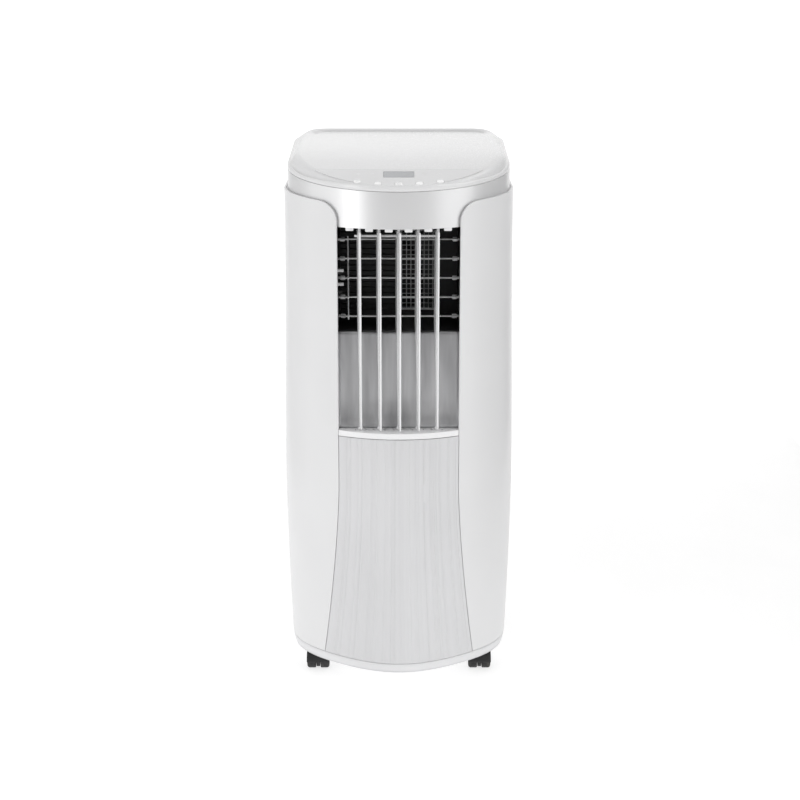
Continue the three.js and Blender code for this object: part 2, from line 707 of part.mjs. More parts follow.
function topCover() {
  const outer = loft([
    lidRing(NECK_INSET, (y) => seamHeight(y) + LID_GAP),
    lidRing(NECK_INSET + 0.8, (y) => topHeight(y) + lipHeight(y) - 2.2, LID_LEAN - 1, LID_TAPER - 1),
    lidRing(NECK_INSET + 3, (y) => topHeight(y) + lipHeight(y), LID_LEAN, LID_TAPER),
    lidRing(NECK_INSET + 7, topHeight, LID_LEAN, LID_TAPER),
  ]);
  const inner = loft([
    lidRing(NECK_INSET + WALL, (y) => seamHeight(y) - 5),
    lidRing(NECK_INSET + WALL + 1, (y) => topHeight(y) - 6, LID_LEAN, LID_TAPER),
    lidRing(NECK_INSET + 7, (y) => topHeight(y) - WALL, LID_LEAN + 2, LID_TAPER),
  ]);
  const recess = extrudeZ(controlOutline(0), -1.5, 30, CONTROL_FRAME);
  return cut(outer, inner, recess, ...buttonHoles(BUTTON_RADIUS + 0.7, -8, 8));
}
add("top_cover", topCover(), WHITE);

function controlPanel() {
  const plate = extrudeZ(controlOutline(0.6), -1.2, -0.1, CONTROL_FRAME);
  const { half, y0, y1 } = DISPLAY;
  const window = block(-half - CLEAR, half + CLEAR, y0 - CLEAR, y1 + CLEAR, -5, 5, CONTROL_FRAME);
  return cut(plate, window, ...buttonHoles(BUTTON_RADIUS + 0.5, -5, 5));
}
add("control_panel", controlPanel(), LIGHT_GREY);

const { half: displayHalf, y0: displayLow, y1: displayHigh } = DISPLAY;
const displayPlate = block(-displayHalf, displayHalf, displayLow, displayHigh, -1.2, 0, CONTROL_FRAME);
add("display_window", displayPlate, SMOKE);

buttonPlaces().forEach(([x, y], i) => {
  const cap = new THREE.CylinderGeometry(BUTTON_RADIUS, BUTTON_RADIUS, 5, 10);
  cap.rotateX(Math.PI / 2);
  cap.translate(x, y, -2);
  add(`button_${i + 1}`, solid(cap, CONTROL_FRAME), WHITE);
});

function controlBoard() {
  const outline = extrudeZ(controlOutline(6), -9.2, -7.6, CONTROL_FRAME);
  const board = outline.intersect(block(-82, 82, 0, 50, -12, -5, CONTROL_FRAME));
  const switches = buttonPlaces().map(([x, y]) =>
    block(x - 2, x + 2, y - 2, y + 2, -8, -5.6, CONTROL_FRAME),
  );
  const display = block(-20, 20, 40, 52, -8, -4.9, CONTROL_FRAME);
  return join(board, display, ...switches);
}
add("control_board", controlBoard(), BOARD);

// ---------- intake grilles ----------
function intakeGrille({ low, high }) {
  const half = INTAKE_HALF - 0.7;
  const [z0, z1] = [low + 0.7, high - 0.7];
  const [y0, y1] = [REAR_Y - 4, REAR_Y + 2.5];
  const frame = cut(
    block(-half, half, y0, y1, z0, z1),
    block(-half + 8, half - 8, 150, 200, z0 + 8, z1 - 8),
  );
  const slats = [];
  const pitch = 24;
  for (let z = z0 + 8 + pitch / 2; z < z1 - 10; z += pitch) {
    slats.push(block(-half + 5, half - 5, y0 + 1, y1 - 1, z, z + 3));
  }
  const posts = [-half / 2, 0, half / 2].map((x) => block(x - 1.5, x + 1.5, y0, y1 - 2, z0 + 5, z1 - 5));
  const clasp = block(-14, 14, y1 - 2, y1 + 3, z1 - 7, z1 - 3);
  return join(frame, ...slats, ...posts, clasp);
}
add("upper_filter_grille", intakeGrille(UPPER_INTAKE), WHITE);
add("lower_filter_grille", intakeGrille(LOWER_INTAKE), WHITE);

// ---------- rear fittings ----------
function exhaustCollar() {
  const { x, z, radius: r } = PORT;
  const profile = [
    [r, REAR_Y - 12],
    [r + 3, REAR_Y - 12],
    [r + 3, REAR_Y + CLEAR],
    [r + 14, REAR_Y + CLEAR],
    [r + 14, REAR_Y + 3],
    [r + 3, REAR_Y + 3],
    [r + 3, REAR_MOST_Y - 3],
    [r + 9, REAR_MOST_Y - 3],
    [r + 9, REAR_MOST_Y],
    [r, REAR_MOST_Y],
    [r, REAR_Y - 12],
  ];
  return turned(profile, [x, 0, z], "y", 24);
}
add("exhaust_collar", exhaustCollar(), WHITE);

DRAINS.forEach(({ x, z }, i) => {
  const stem = bar([x, REAR_Y - 8, z], [x, REAR_Y + 8, z], 5.5, 8);
  const cap = bar([x, REAR_Y + 6.4, z], [x, REAR_Y + 14, z], 10.5, 12);
  add(i === 0 ? "drain_plug_upper" : "drain_plug_lower", join(stem, cap), RUBBER);
});

function cordWrap() {
  const { x, z } = { x: -112, z: 420 };
  const plate = block(x - 10, x + 10, REAR_Y + CLEAR, REAR_Y + 4, z - 45, z + 45);
  const hook = (at, up) => {
    const arm = block(x - 8, x + 8, REAR_Y + 3, REAR_Y + 20, at - 3, at + 3);
    const [low, high] = up > 0 ? [at, at + 16] : [at - 16, at];
    const tip = block(x - 8, x + 8, REAR_Y + 16.5, REAR_Y + 20, low, high);
    return join(arm, tip);
  };
  return join(plate, hook(z + 36, 1), hook(z - 36, -1));
}
add("cord_wrap_bracket", cordWrap(), WHITE);

const gland = turned(
  [
    [0, REAR_Y - 8],
    [GLAND.radius, REAR_Y - 8],
    [GLAND.radius, REAR_Y + CLEAR],
    [GLAND.radius + 3.5, REAR_Y + CLEAR],
    [GLAND.radius + 2.5, REAR_Y + 5],
    [4.2, REAR_Y + 7],
    [4.2, REAR_Y - 2],
    [0, REAR_Y - 2],
  ],
  [GLAND.x, 0, GLAND.z],
  "y",
  12,
);
add("cord_gland", gland, RUBBER);

// ---------- refrigeration circuit ----------
const COIL = { y0: 140, y1: 164, half: 134 };

function coil(z0, z1) {
  const { y0, y1, half } = COIL;
  const core = block(-half, half, y0, y1, z0, z1);
  const grooves = [];
  const count = 9;
  for (let i = 0; i < count; i++) {
    const x = -half + ((i + 0.5) * 2 * half) / count;
    grooves.push(block(x - 4, x + 4, y1 - 3, y1 + 5, z0 + 4, z1 - 4));
  }
  const bends = [];
  const pitch = (z1 - z0) / 5;
  for (let i = 0; i < 5; i++) {
    const z = z0 + pitch * (i + 0.25);
    const x = i % 2 ? half : -half;
    const out = i % 2 ? 14 : -14;
    const turnPoints = [
      [x - out / 3, 152, z],
      [x + out * 0.8, 152, z + 2],
      [x + out, 152, z + pitch / 4],
      [x + out * 0.8, 152, z + pitch / 2 - 2],
      [x - out / 3, 152, z + pitch / 2],
    ];
    bends.push(pipe(turnPoints, 4, 5));
  }
  return join(cut(core, ...grooves), ...bends);
}
add("evaporator", coil(566, 800), ALUMINIUM);
add("condenser", coil(88, 340), ALUMINIUM);

// A volute of growing radius round (cx, cz), with its tongue at angle 0.
function volute(cx, cz, from, to, extra) {
  const points = [];
  for (let i = 0; i <= 16; i++) {
    const share = i / 16;
    const angle = share * 2 * Math.PI;
    const r = to - (to - from) * share + extra;
    points.push([cx + r * Math.cos(angle), cz + r * Math.sin(angle)]);
  }
  return points.slice(0, -1);
}

const EVAPORATOR_FAN = { x: -38, z: 640, wheel: 78, y0: -26, y1: 58 };

function evaporatorScroll() {
  const { x, z, wheel, y0, y1 } = EVAPORATOR_FAN;
  const t = 2.5;
  const outer = extrudeY(volute(x, z, wheel + 10, wheel + 24, t), y0, y1);
  const inner = extrudeY(volute(x, z, wheel + 10, wheel + 24, 0), y0 + t, y1 - t);
  const neck = block(0, WINDOW.x1 + 10, y0, y1, WINDOW.z0 - 4, WINDOW.z1 + 24);
  const hollow = block(-20, WINDOW.x1 + 10 - t, y0 + t, y1 - t, WINDOW.z0, WINDOW.z1 + 21);
  const outlet = block(WINDOW.x0, WINDOW.x1, y0 - 9, y0 + 9, WINDOW.z0, WINDOW.z1);
  const inlet = bar([x, y1 - 8, z], [x, y1 + 8, z], 66, 20);
  return cut(join(outer, neck), inner, hollow, outlet, inlet);
}
add("evaporator_scroll", evaporatorScroll(), GREY);

const CONDENSER_FAN = { x: 62, z: 218, wheel: 74, y0: -4, y1: 76 };

function condenserScroll() {
  const { x, z, wheel, y0, y1 } = CONDENSER_FAN;
  const t = 2.5;
  const left = PORT.x - 78;
  const right = PORT.x + 78;
  const outer = extrudeY(volute(x, z, wheel + 8, wheel + 20, t), y0, y1);
  const inner = extrudeY(volute(x, z, wheel + 8, wheel + 20, 0), y0 + t, y1 - t);
  const neck = block(left, right, y0, y1, z, PORT.z + 76);
  const hollow = block(left + t, right - t, y0 + t, y1 - t, z - 10, PORT.z + 76 - t);
  const elbow = block(left, right, y1 - 4, REAR_Y - 12.6, PORT.z - 76, PORT.z + 76);
  const passage = block(left + t, right - t, y0 + t, REAR_Y, PORT.z - 76 + t, PORT.z + 76 - t);
  const inlet = bar([x, y1 - 8, z], [x, y1 + 8, z], 60, 20);
  const shaft = bar([x, y0 - 8, z], [x, y0 + 8, z], 6, 8);
  return cut(join(outer, neck, elbow), inner, hollow, passage, inlet, shaft);
}
add("condenser_scroll", condenserScroll(), GREY);

// A centrifugal wheel on a shaft along Y: back plate, hub, blades and front ring.
function blowerWheel({ x, z, wheel, y0, y1 }, shaftFrom, shaftTo) {
  const back = y0 + 8;
  const front = y1 - 8;
  const plate = bar([x, back, z], [x, back + 3, z], wheel, 20);
  const ringAt = front - 4;
  const rim = cut(
    bar([x, ringAt, z], [x, ringAt + 4, z], wheel, 20),
    bar([x, ringAt - 1, z], [x, ringAt + 5, z], wheel - 14, 20),
  );
  const hub = bar([x, back, z], [x, back + 22, z], 11, 8);
  const shaft = bar([x, shaftFrom, z], [x, shaftTo, z], 4, 8);
  const blades = [];
  const count = 12;
  for (let i = 0; i < count; i++) {
    const spin = new THREE.Matrix4()
      .makeTranslation(x, 0, z)
      .multiply(new THREE.Matrix4().makeRotationY((i / count) * 2 * Math.PI))
      .multiply(new THREE.Matrix4().makeTranslation(wheel - 8, 0, 0))
      .multiply(new THREE.Matrix4().makeRotationY(0.6));
    blades.push(block(-6.5, 6.5, back + 1, ringAt + 2, -0.9, 0.9, spin));
  }
  return join(plate, rim, hub, shaft, ...blades);
}

// A fan motor: can and three legs that reach the scroll.
function fanMotor(x, z, y0, y1, radius, legs) {
  const can = bar([x, y0, z], [x, y1, z], radius, 20);
  const arms = [90, 210, 330].map((degrees) => {
    const angle = THREE.MathUtils.degToRad(degrees);
    const spin = new THREE.Matrix4()
      .makeTranslation(x, 0, z)
      .multiply(new THREE.Matrix4().makeRotationY(-angle));
    return block(radius - 4, legs.reach, legs.y0, legs.y1, -5, 5, spin);
  });
  const bore = bar([x, y0 - 20, z], [x, y1 + 20, z], 5, 8);
  return cut(join(can, ...arms), bore);
}

const evaporatorMotorY = [EVAPORATOR_FAN.y1 + 4, EVAPORATOR_FAN.y1 + 46];
add("evaporator_wheel", blowerWheel(EVAPORATOR_FAN, EVAPORATOR_FAN.y0 + 8, evaporatorMotorY[1]), BLACK);
add(
  "evaporator_motor",
  fanMotor(EVAPORATOR_FAN.x, EVAPORATOR_FAN.z, ...evaporatorMotorY, 40, {
    reach: 84,
    y0: EVAPORATOR_FAN.y1 + 0.4,
    y1: EVAPORATOR_FAN.y1 + 8,
  }),
  STEEL,
);

const condenserMotorY = [CONDENSER_FAN.y0 - 52, CONDENSER_FAN.y0 - 6];
add("condenser_wheel", blowerWheel(CONDENSER_FAN, condenserMotorY[0], CONDENSER_FAN.y0 + 20), BLACK);
add(
  "condenser_motor",
  fanMotor(CONDENSER_FAN.x, CONDENSER_FAN.z, ...condenserMotorY, 40, {
    reach: 60,
    y0: CONDENSER_FAN.y0 - 8,
    y1: CONDENSER_FAN.y0 - 0.4,
  }),
  STEEL,
);

// ---------- compressor and pipes ----------
const COMPRESSOR = { x: -98, y: -72 };

function compressor() {
  const { x, y } = COMPRESSOR;
  const z0 = BASE_TOP_Z + 12;
  const shellProfile = [
    [0, z0],
    [38, z0],
    [52, z0 + 12],
    [54, z0 + 24],
    [54, z0 + 196],
    [50, z0 + 212],
    [34, z0 + 224],
    [0, z0 + 230],
  ];
  const body = turned(shellProfile, [COMPRESSOR.x, COMPRESSOR.y, 0], "z", 20);
  const bottleProfile = [
    [0, z0 + 58],
    [12, z0 + 60],
    [22, z0 + 72],
    [22, z0 + 168],
    [12, z0 + 184],
    [0, z0 + 186],
  ];
  const bottle = turned(bottleProfile, [x + 82, y - 6, 0], "z", 14);
  const stub = bar([x, y, z0 + 220], [x, y, z0 + 246], 5, 8);
  const feet = [30, 150, 270].map((degrees) => {
    const angle = THREE.MathUtils.degToRad(degrees);
    const foot = [x + 62 * Math.cos(angle), y + 62 * Math.sin(angle)];
    return join(
      bar([x, y, z0 + 6], [...foot, z0 + 6], 7, 6),
      bar([...foot, BASE_TOP_Z + CLEAR], [...foot, z0 + 12], 9, 8),
    );
  });
  const bracket = block(x + 40, x + 66, y - 12, y + 2, z0 + 110, z0 + 122);
  const elbowPoints = [
    [x + 82, y - 6, z0 + 64],
    [x + 82, y - 6, z0 + 44],
    [x + 68, y - 4, z0 + 34],
    [x + 46, y - 2, z0 + 34],
  ];
  const elbow = pipe(elbowPoints, 5, 10);
  return join(body, bottle, stub, bracket, elbow, ...feet);
}
add("compressor", compressor(), STEEL);

const Z0 = BASE_TOP_Z + 12;
const suction = pipe(
  [
    [COMPRESSOR.x + 82, COMPRESSOR.y - 6, Z0 + 187],
    [COMPRESSOR.x + 82, COMPRESSOR.y - 6, 330],
    [COMPRESSOR.x + 50, -66, 420],
    [-150, -40, 470],
    [-160, 40, 540],
    [-160, 130, 600],
    [-158, 150, 640],
    [-151, 152, 650],
  ],
  5,
  24,
);
add("suction_pipe", suction, COPPER);

const discharge = pipe(
  [
    [COMPRESSOR.x, COMPRESSOR.y, Z0 + 247],
    [COMPRESSOR.x, COMPRESSOR.y, 340],
    [-120, -40, 365],
    [-156, 20, 330],
    [-162, 110, 260],
    [-160, 148, 210],
    [-152, 152, 190],
  ],
  4,
  24,
);
add("discharge_pipe", discharge, COPPER);

// ---------- deck, electrics ----------
function drainDeck() {
  const [z0, z1] = [522, 528];
  const outline = loft([casingRing(z0, 6), casingRing(z1, 6)]);
  const plate = outline.intersect(block(-200, 200, -120, 169, z0 - 1, z1 + 1));
  const rims = [
    block(-156, 156, 128, 131, z1 - 1, 560),
    block(-156, 156, 166, 169, z1 - 1, 560),
    block(-156, -153, 128, 169, z1 - 1, 560),
    block(153, 156, 128, 169, z1 - 1, 560),
  ];
  const pipeHole = block(-168, -146, -10, 60, 500, 540);
  const sump = bar([DRAINS[0].x, 150, 505], [DRAINS[0].x, 150, z0 + 1], 10, 12);
  const well = bar([DRAINS[0].x, 150, 509], [DRAINS[0].x, 150, 540], 7, 12);
  return cut(join(plate, ...rims, sump), pipeHole, well);
}
add("drain_deck", drainDeck(), GREY);

function electricalBox() {
  const outer = block(104, 166, -90, 0, 532, 700);
  const inner = block(107, 180, -87, -3, 535, 697);
  const capacitor = bar([106, -62, 560], [142, -62, 560], 18, 12);
  const board = block(106, 110, -82, -6, 590, 690);
  const relay = block(109, 134, -54, -24, 600, 625);
  return join(cut(outer, inner), capacitor, board, relay);
}
add("electrical_box", electricalBox(), GREY);

// ---------- casters ----------
function casterHood() {
  const arc = (radius, from, to) => {
    const points = [];
    for (let i = 0; i <= 6; i++) {
      const angle = THREE.MathUtils.degToRad(from + ((to - from) * i) / 6);
      points.push([-CASTER_TRAIL + radius * Math.cos(angle), WHEEL_RADIUS + radius * Math.sin(angle)]);
    }
    return points;
  };
  const swivel = bar([0, 0, 29.6], [0, 0, SWIVEL_TOP_Z], 12, 12);
  const stem = bar([0, 0, SWIVEL_TOP_Z - 1], [0, 0, BASE_TOP_Z + 2], 5, 8);
  const arch = [...arc(HOOD_RADIUS, 4, 176), ...arc(WHEEL_RADIUS + 0.9, 176, 4)];
  const fender = extrudeX(arch, -CASTER_HALF_WIDTH, CASTER_HALF_WIDTH);
  const web = extrudeX([...arc(HOOD_RADIUS - 0.7, 0, 180), ...arc(WHEEL_RADIUS - 2, 180, 360)], -3, 3);
  const axle = wheelBar(-10, 10, 3.2, 8);
  return cut(join(swivel, stem, fender, web), axle);
}

function wheelBar(x0, x1, radius, sides) {
  return bar([x0, -CASTER_TRAIL, WHEEL_RADIUS], [x1, -CASTER_TRAIL, WHEEL_RADIUS], radius, sides);
}

function casterWheels() {
  const tread = (side) => {
    const [inside, edge, outside] = [4, CASTER_HALF_WIDTH - 3, CASTER_HALF_WIDTH].map((x) => x * side);
    const profile = [
      [0, inside],
      [WHEEL_RADIUS, inside],
      [WHEEL_RADIUS, edge],
      [WHEEL_RADIUS - 5, outside],
      [0, outside],
    ];
    return turned(side > 0 ? profile : profile.reverse(), [0, -CASTER_TRAIL, WHEEL_RADIUS], "x", 20);
  };
  return join(tread(-1), tread(1), wheelBar(-6, 6, 2.6, 8));
}

const CORNERS = [
  ["front_left", -CASTER_X, CASTER_FRONT_Y],
  ["front_right", CASTER_X, CASTER_FRONT_Y],
  ["rear_left", -CASTER_X, CASTER_REAR_Y],
  ["rear_right", CASTER_X, CASTER_REAR_Y],
];
for (const [name, x, y] of CORNERS) {
  add(`caster_hood_${name}`, casterHood(), BLACK, { position: [x, y, 0] });
  add(`caster_wheels_${name}`, casterWheels(), RUBBER, { position: [x, y, 0] });
}

export default machine;
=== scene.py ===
"""The looks of a portable air conditioner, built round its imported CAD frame. Lengths are in millimetres until
make() turns them into metres. The front faces -Y and the origin is on the floor under the middle."""
import json
import math
import random

import bmesh
import bpy
from mathutils import Matrix, Vector


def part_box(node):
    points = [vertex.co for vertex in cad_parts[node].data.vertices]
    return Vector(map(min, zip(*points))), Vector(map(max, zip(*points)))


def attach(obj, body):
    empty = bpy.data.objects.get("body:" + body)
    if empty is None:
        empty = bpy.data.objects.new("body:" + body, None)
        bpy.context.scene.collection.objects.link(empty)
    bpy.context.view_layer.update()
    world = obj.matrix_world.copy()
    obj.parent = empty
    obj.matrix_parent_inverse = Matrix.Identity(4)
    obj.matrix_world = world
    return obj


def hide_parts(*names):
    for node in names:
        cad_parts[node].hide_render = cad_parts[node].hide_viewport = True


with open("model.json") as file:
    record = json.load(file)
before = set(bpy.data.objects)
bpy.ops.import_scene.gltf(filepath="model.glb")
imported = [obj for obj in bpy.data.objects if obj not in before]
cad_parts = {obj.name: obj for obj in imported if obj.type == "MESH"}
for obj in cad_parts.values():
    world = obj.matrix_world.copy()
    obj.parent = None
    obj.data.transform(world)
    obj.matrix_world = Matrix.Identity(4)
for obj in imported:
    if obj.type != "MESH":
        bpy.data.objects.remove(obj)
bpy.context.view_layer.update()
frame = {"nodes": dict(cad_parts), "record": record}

MM = 0.001
CABINET = "cabinet"


def span(node):
    """The lowest and the highest corner of a CAD node."""
    return [[v / MM for v in corner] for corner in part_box(node)]


def low(node):
    return span(node)[0]


def high(node):
    return span(node)[1]


def middle(node):
    return [(a + b) / 2 for a, b in zip(*span(node))]


# ---------- camera, light and floor ----------
CAMERA_PLACE = (0.002, -2.6, 1.163)
CAMERA_TILT = 15.6  # degrees below the horizon
CAMERA_LENS = 72.2
FLOOR_RADIUS = 60.0
FLOOR_GLOW = 0.72
WORLD_STRENGTH = 0.5
WORLD_PATCHES = [  # direction, inner and outer half angle in degrees, strength
    ((-0.85, -0.55, 0.35), 15, 60, 0.65),
    ((0, -1, 0.25), 12, 48, -0.46),
    ((1, -0.25, 0.3), 10, 52, 1.95),
    ((0, 0.7, 0.7), 20, 60, 0.5),
    ((0, 1, 0.12), 8, 25, 0.22),
]


def area_light(name, place, size, power):
    """A soft light that is aimed at the middle of the casing."""
    data = bpy.data.lights.new(name, "AREA")
    data.shape = "RECTANGLE"
    data.size, data.size_y = size
    data.energy = power
    light = bpy.data.objects.new(name, data)
    light.location = place
    light.rotation_euler = (Vector((0, 0, 0.5)) - light.location).to_track_quat("-Z", "Y").to_euler()
    light.visible_camera = False
    bpy.context.collection.objects.link(light)


def studio():
    scene = bpy.context.scene
    camera = bpy.data.objects.new("camera", bpy.data.cameras.new("camera"))
    camera.location = CAMERA_PLACE
    camera.rotation_euler = (math.radians(90 - CAMERA_TILT), 0, 0)
    camera.data.lens = CAMERA_LENS
    camera.data.sensor_width = 36
    camera.data.clip_end = 200
    scene.collection.objects.link(camera)
    scene.camera = camera
    scene.view_settings.view_transform = "Standard"
    scene.view_settings.look = "None"
    scene.world = soft_box_world()
    area_light("key_left", (-1.7, -1.75, 0.8), (0.7, 1.6), 7)
    area_light("fill_right", (2.1, -0.3, 0.8), (0.4, 1.6), 5)

    bpy.ops.mesh.primitive_circle_add(vertices=96, radius=FLOOR_RADIUS, fill_type="NGON")
    floor = bpy.context.object
    floor.name = "floor"
    paint = plastic("floor_paint", (0.4, 0.4, 0.4), 0.85, grain=60, bump=0.02)
    shader = paint.node_tree.nodes["Principled BSDF"]
    shader.inputs["Emission Color"].default_value = (1, 1, 1, 1)
    shader.inputs["Emission Strength"].default_value = FLOOR_GLOW
    floor.data.materials.append(paint)
    card("front_card", (0.2, -3.4, 0.8), (4.4, 1.6), 0, 0.33)
    card("left_card", (-0.98, 0.75, 0.65), (1.4, 1.3), 90, 0.62)
    card("right_card", (0.98, 0.45, 0.65), (1.6, 1.3), 90, 0.4)


def card(name, centre, size, turn, grey):
    """A grey card that stands out of sight and keeps light off one side of the casing."""
    bpy.ops.mesh.primitive_plane_add(size=1, location=centre, rotation=(math.pi / 2, 0, math.radians(turn)))
    board = bpy.context.object
    board.name = name
    board.scale = (*size, 1)
    board.visible_camera = False
    board.data.materials.append(plastic(name + "_paint", (grey, grey, grey), 0.9, grain=40, bump=0.05))


def soft_box_world():
    """A dim white tent round the casing with broad soft patches."""
    world = bpy.data.worlds.new("studio")
    world.use_nodes = True
    tree = world.node_tree
    directions = tree.nodes.new("ShaderNodeTexCoord").outputs["Generated"]
    total = None
    for direction, inner, outer, strength in WORLD_PATCHES:
        along = tree.nodes.new("ShaderNodeVectorMath")
        along.operation = "DOT_PRODUCT"
        along.inputs[1].default_value = Vector(direction).normalized()
        tree.links.new(directions, along.inputs[0])
        edge, core = math.cos(math.radians(outer)), math.cos(math.radians(inner))
        patch = shader_node(tree, "MapRange", From_Min=edge, From_Max=core, To_Max=strength)
        patch.interpolation_type = "SMOOTHSTEP"
        tree.links.new(along.outputs["Value"], patch.inputs["Value"])
        added = tree.nodes.new("ShaderNodeMath")
        added.inputs[1].default_value = WORLD_STRENGTH
        if total:
            tree.links.new(total, added.inputs[1])
        tree.links.new(patch.outputs["Result"], added.inputs[0])
        total = added.outputs["Value"]
    background = tree.nodes["Background"]
    tree.links.new(total, background.inputs["Strength"])
    background.inputs["Color"].default_value = (1, 1, 1, 1)
    return world


# ---------- materials ----------
def shader_node(tree, kind, **inputs):
    """A shader node with some of its inputs set. An underscore stands for the space in an input's name."""
    node = tree.nodes.new("ShaderNode" + kind)
    for name, value in inputs.items():
        node.inputs[name.replace("_", " ")].default_value = value
    return node


def nodes_of(name, metallic=0.0, coat=0.0, coat_rough=0.08):
    material = bpy.data.materials.new(name)
    material.use_nodes = True
    bsdf = material.node_tree.nodes["Principled BSDF"]
    bsdf.inputs["Metallic"].default_value = metallic
    bsdf.inputs["Coat Weight"].default_value = coat
    bsdf.inputs["Coat Roughness"].default_value = coat_rough
    return material, material.node_tree, bsdf


def noise_node(tree, scale, detail=4.0, stretch=(1, 1, 1)):
    """Noise in the piece's own coordinates, scale per metre, stretched along each axis."""
    coordinates = tree.nodes.new("ShaderNodeTexCoord")
    mapping = shader_node(tree, "Mapping", Scale=stretch)
    noise = shader_node(tree, "TexNoise", Scale=scale, Detail=detail)
    tree.links.new(coordinates.outputs["Object"], mapping.inputs["Vector"])
    tree.links.new(mapping.outputs["Vector"], noise.inputs["Vector"])
    return noise.outputs["Fac"]


def spread(tree, source, target, low_value, high_value, start=0.3, end=0.7):
    """Feeds target with the middle range of a source, mapped to low_value..high_value."""
    node = shader_node(tree, "MapRange", From_Min=start, From_Max=end, To_Min=low_value, To_Max=high_value)
    tree.links.new(source, node.inputs["Value"])
    tree.links.new(node.outputs["Result"], target)


def tint(tree, bsdf, source, colours, edges=(0.35, 0.65)):
    """Feeds the base colour with a blend of two colours."""
    ramp = tree.nodes.new("ShaderNodeValToRGB")
    for i in (0, 1):
        ramp.color_ramp.elements[i].position = edges[i]
        ramp.color_ramp.elements[i].color = (*colours[i], 1)
    tree.links.new(source, ramp.inputs["Fac"])
    tree.links.new(ramp.outputs["Color"], bsdf.inputs["Base Color"])


def raise_bump(tree, bsdf, source, strength, distance):
    bump = shader_node(tree, "Bump", Strength=strength, Distance=distance)
    tree.links.new(source, bump.inputs["Height"])
    tree.links.new(bump.outputs["Normal"], bsdf.inputs["Normal"])


def plastic(name, color, rough, grain=900, bump=0.08, vary=0.02, metallic=0.0, coat=0.0, stretch=(1, 1, 1)):
    """Moulded or painted surface: fine grain in the bump, slow drift in colour and gloss."""
    material, tree, bsdf = nodes_of(name, metallic, coat)
    fine = noise_node(tree, grain, 3, stretch)
    darker = [c * (1 - vary) for c in color]
    lighter = [min(1, c * (1 + vary)) for c in color]
    tint(tree, bsdf, noise_node(tree, 6, 2), (darker, lighter))
    spread(tree, fine, bsdf.inputs["Roughness"], rough * 0.88, rough * 1.12)
    raise_bump(tree, bsdf, fine, bump, 0.0004)
    return material


def worn(name, color, worn_color, rough, scale, bump=0.3, metallic=0.0):
    """A surface with patches of wear, dust or oxide over its base colour."""
    material, tree, bsdf = nodes_of(name, metallic)
    patches = noise_node(tree, scale, 8)
    tint(tree, bsdf, patches, (color, worn_color), (0.5, 0.68))
    spread(tree, patches, bsdf.inputs["Roughness"], rough * 0.8, rough * 1.2)
    raise_bump(tree, bsdf, noise_node(tree, scale * 12), bump, 0.0003)
    return material


def painted_streak_metal(name, dark, light, rough):
    """Satin metal paint with soft upright light and dark streaks painted into its colour and gloss, a painted
    reflection.
    """
    material, tree, bsdf = nodes_of(name, 0.7)
    # painted reflection: upright light and dark streaks in the base colour, the light ones glossier
    streaks = noise_node(tree, 34, 3, (1, 1, 0.05))
    tint(tree, bsdf, streaks, (dark, light))
    spread(tree, streaks, bsdf.inputs["Roughness"], rough * 1.15, rough * 0.8)
    raise_bump(tree, bsdf, noise_node(tree, 300, 3, (6, 6, 0.4)), 0.05, 0.0004)
    return material


def smoked(name, color):
    """The tinted display window: smooth, under a clear coat."""
    material, tree, bsdf = nodes_of(name, 0, 0.6, 0.04)
    drift = noise_node(tree, 30, 2)
    tint(tree, bsdf, drift, ([c * 0.93 for c in color], color))
    spread(tree, drift, bsdf.inputs["Roughness"], 0.1, 0.16)
    return material


def circuit(name):
    """Green solder mask with paler traces."""
    material, tree, bsdf = nodes_of(name)
    bricks = shader_node(tree, "TexBrick", Scale=160, Mortar_Size=0.03, Color1=(0.03, 0.16, 0.07, 1),
                         Color2=(0.035, 0.2, 0.09, 1), Mortar=(0.12, 0.34, 0.16, 1))
    tree.links.new(tree.nodes.new("ShaderNodeTexCoord").outputs["Object"], bricks.inputs["Vector"])
    tree.links.new(bricks.outputs["Color"], bsdf.inputs["Base Color"])
    spread(tree, bricks.outputs["Fac"], bsdf.inputs["Roughness"], 0.3, 0.5, 0, 1)
    raise_bump(tree, bsdf, bricks.outputs["Fac"], 0.3, 0.0002)
    return material


WHITE = plastic("white_plastic", (0.74, 0.74, 0.745), 0.32, vary=0.012, coat=0.15)
LID_WHITE = plastic("lid_plastic", (0.73, 0.73, 0.735), 0.26, vary=0.012, coat=0.3)
CONTROL = plastic("control_film", (0.70, 0.70, 0.705), 0.34, grain=1500, bump=0.05, coat=0.1)
PEARL = plastic("pearl_paint", (0.74, 0.74, 0.745), 0.34, grain=2200, bump=0.03, metallic=0.44, coat=0.3)
# the deflector's satin silver; its upright light streaks are a painted reflection
SILVER = painted_streak_metal("satin_silver", (0.46, 0.46, 0.47), (0.72, 0.72, 0.73), 0.36)
STRIATED = plastic("striated_plastic", (0.66, 0.66, 0.67), 0.42, grain=260, bump=0.12, stretch=(5, 5, 0.12))
LIGHT = plastic("light_plastic", (0.74, 0.74, 0.75), 0.38)
LOUVER_WHITE = plastic("louver_plastic", (0.92, 0.92, 0.92), 0.35, grain=1400, bump=0.05)
VANE_WHITE = plastic("vane_plastic", (0.85, 0.85, 0.855), 0.28, grain=1400, bump=0.05, coat=0.2)
BUTTON_WHITE = plastic("button_plastic", (0.95, 0.95, 0.95), 0.25, grain=1600, bump=0.03, coat=0.5)
GUARD_GREY = plastic("guard_wire", (0.78, 0.78, 0.79), 0.45, grain=700, bump=0.1, vary=0.06)
GREY = plastic("grey_polypropylene", (0.24, 0.25, 0.26), 0.5, grain=500, bump=0.15, vary=0.08)
BLACK = plastic("black_plastic", (0.016, 0.016, 0.017), 0.5, grain=600, bump=0.15, vary=0.1)
TYRE = worn("caster_tread", (0.014, 0.014, 0.015), (0.05, 0.048, 0.045), 0.6, 90)
RUBBER = worn("black_rubber", (0.012, 0.012, 0.012), (0.022, 0.022, 0.022), 0.75, 200)
COPPER = worn("copper_tube", (0.72, 0.36, 0.2), (0.36, 0.17, 0.1), 0.3, 30, 0.1, 1.0)
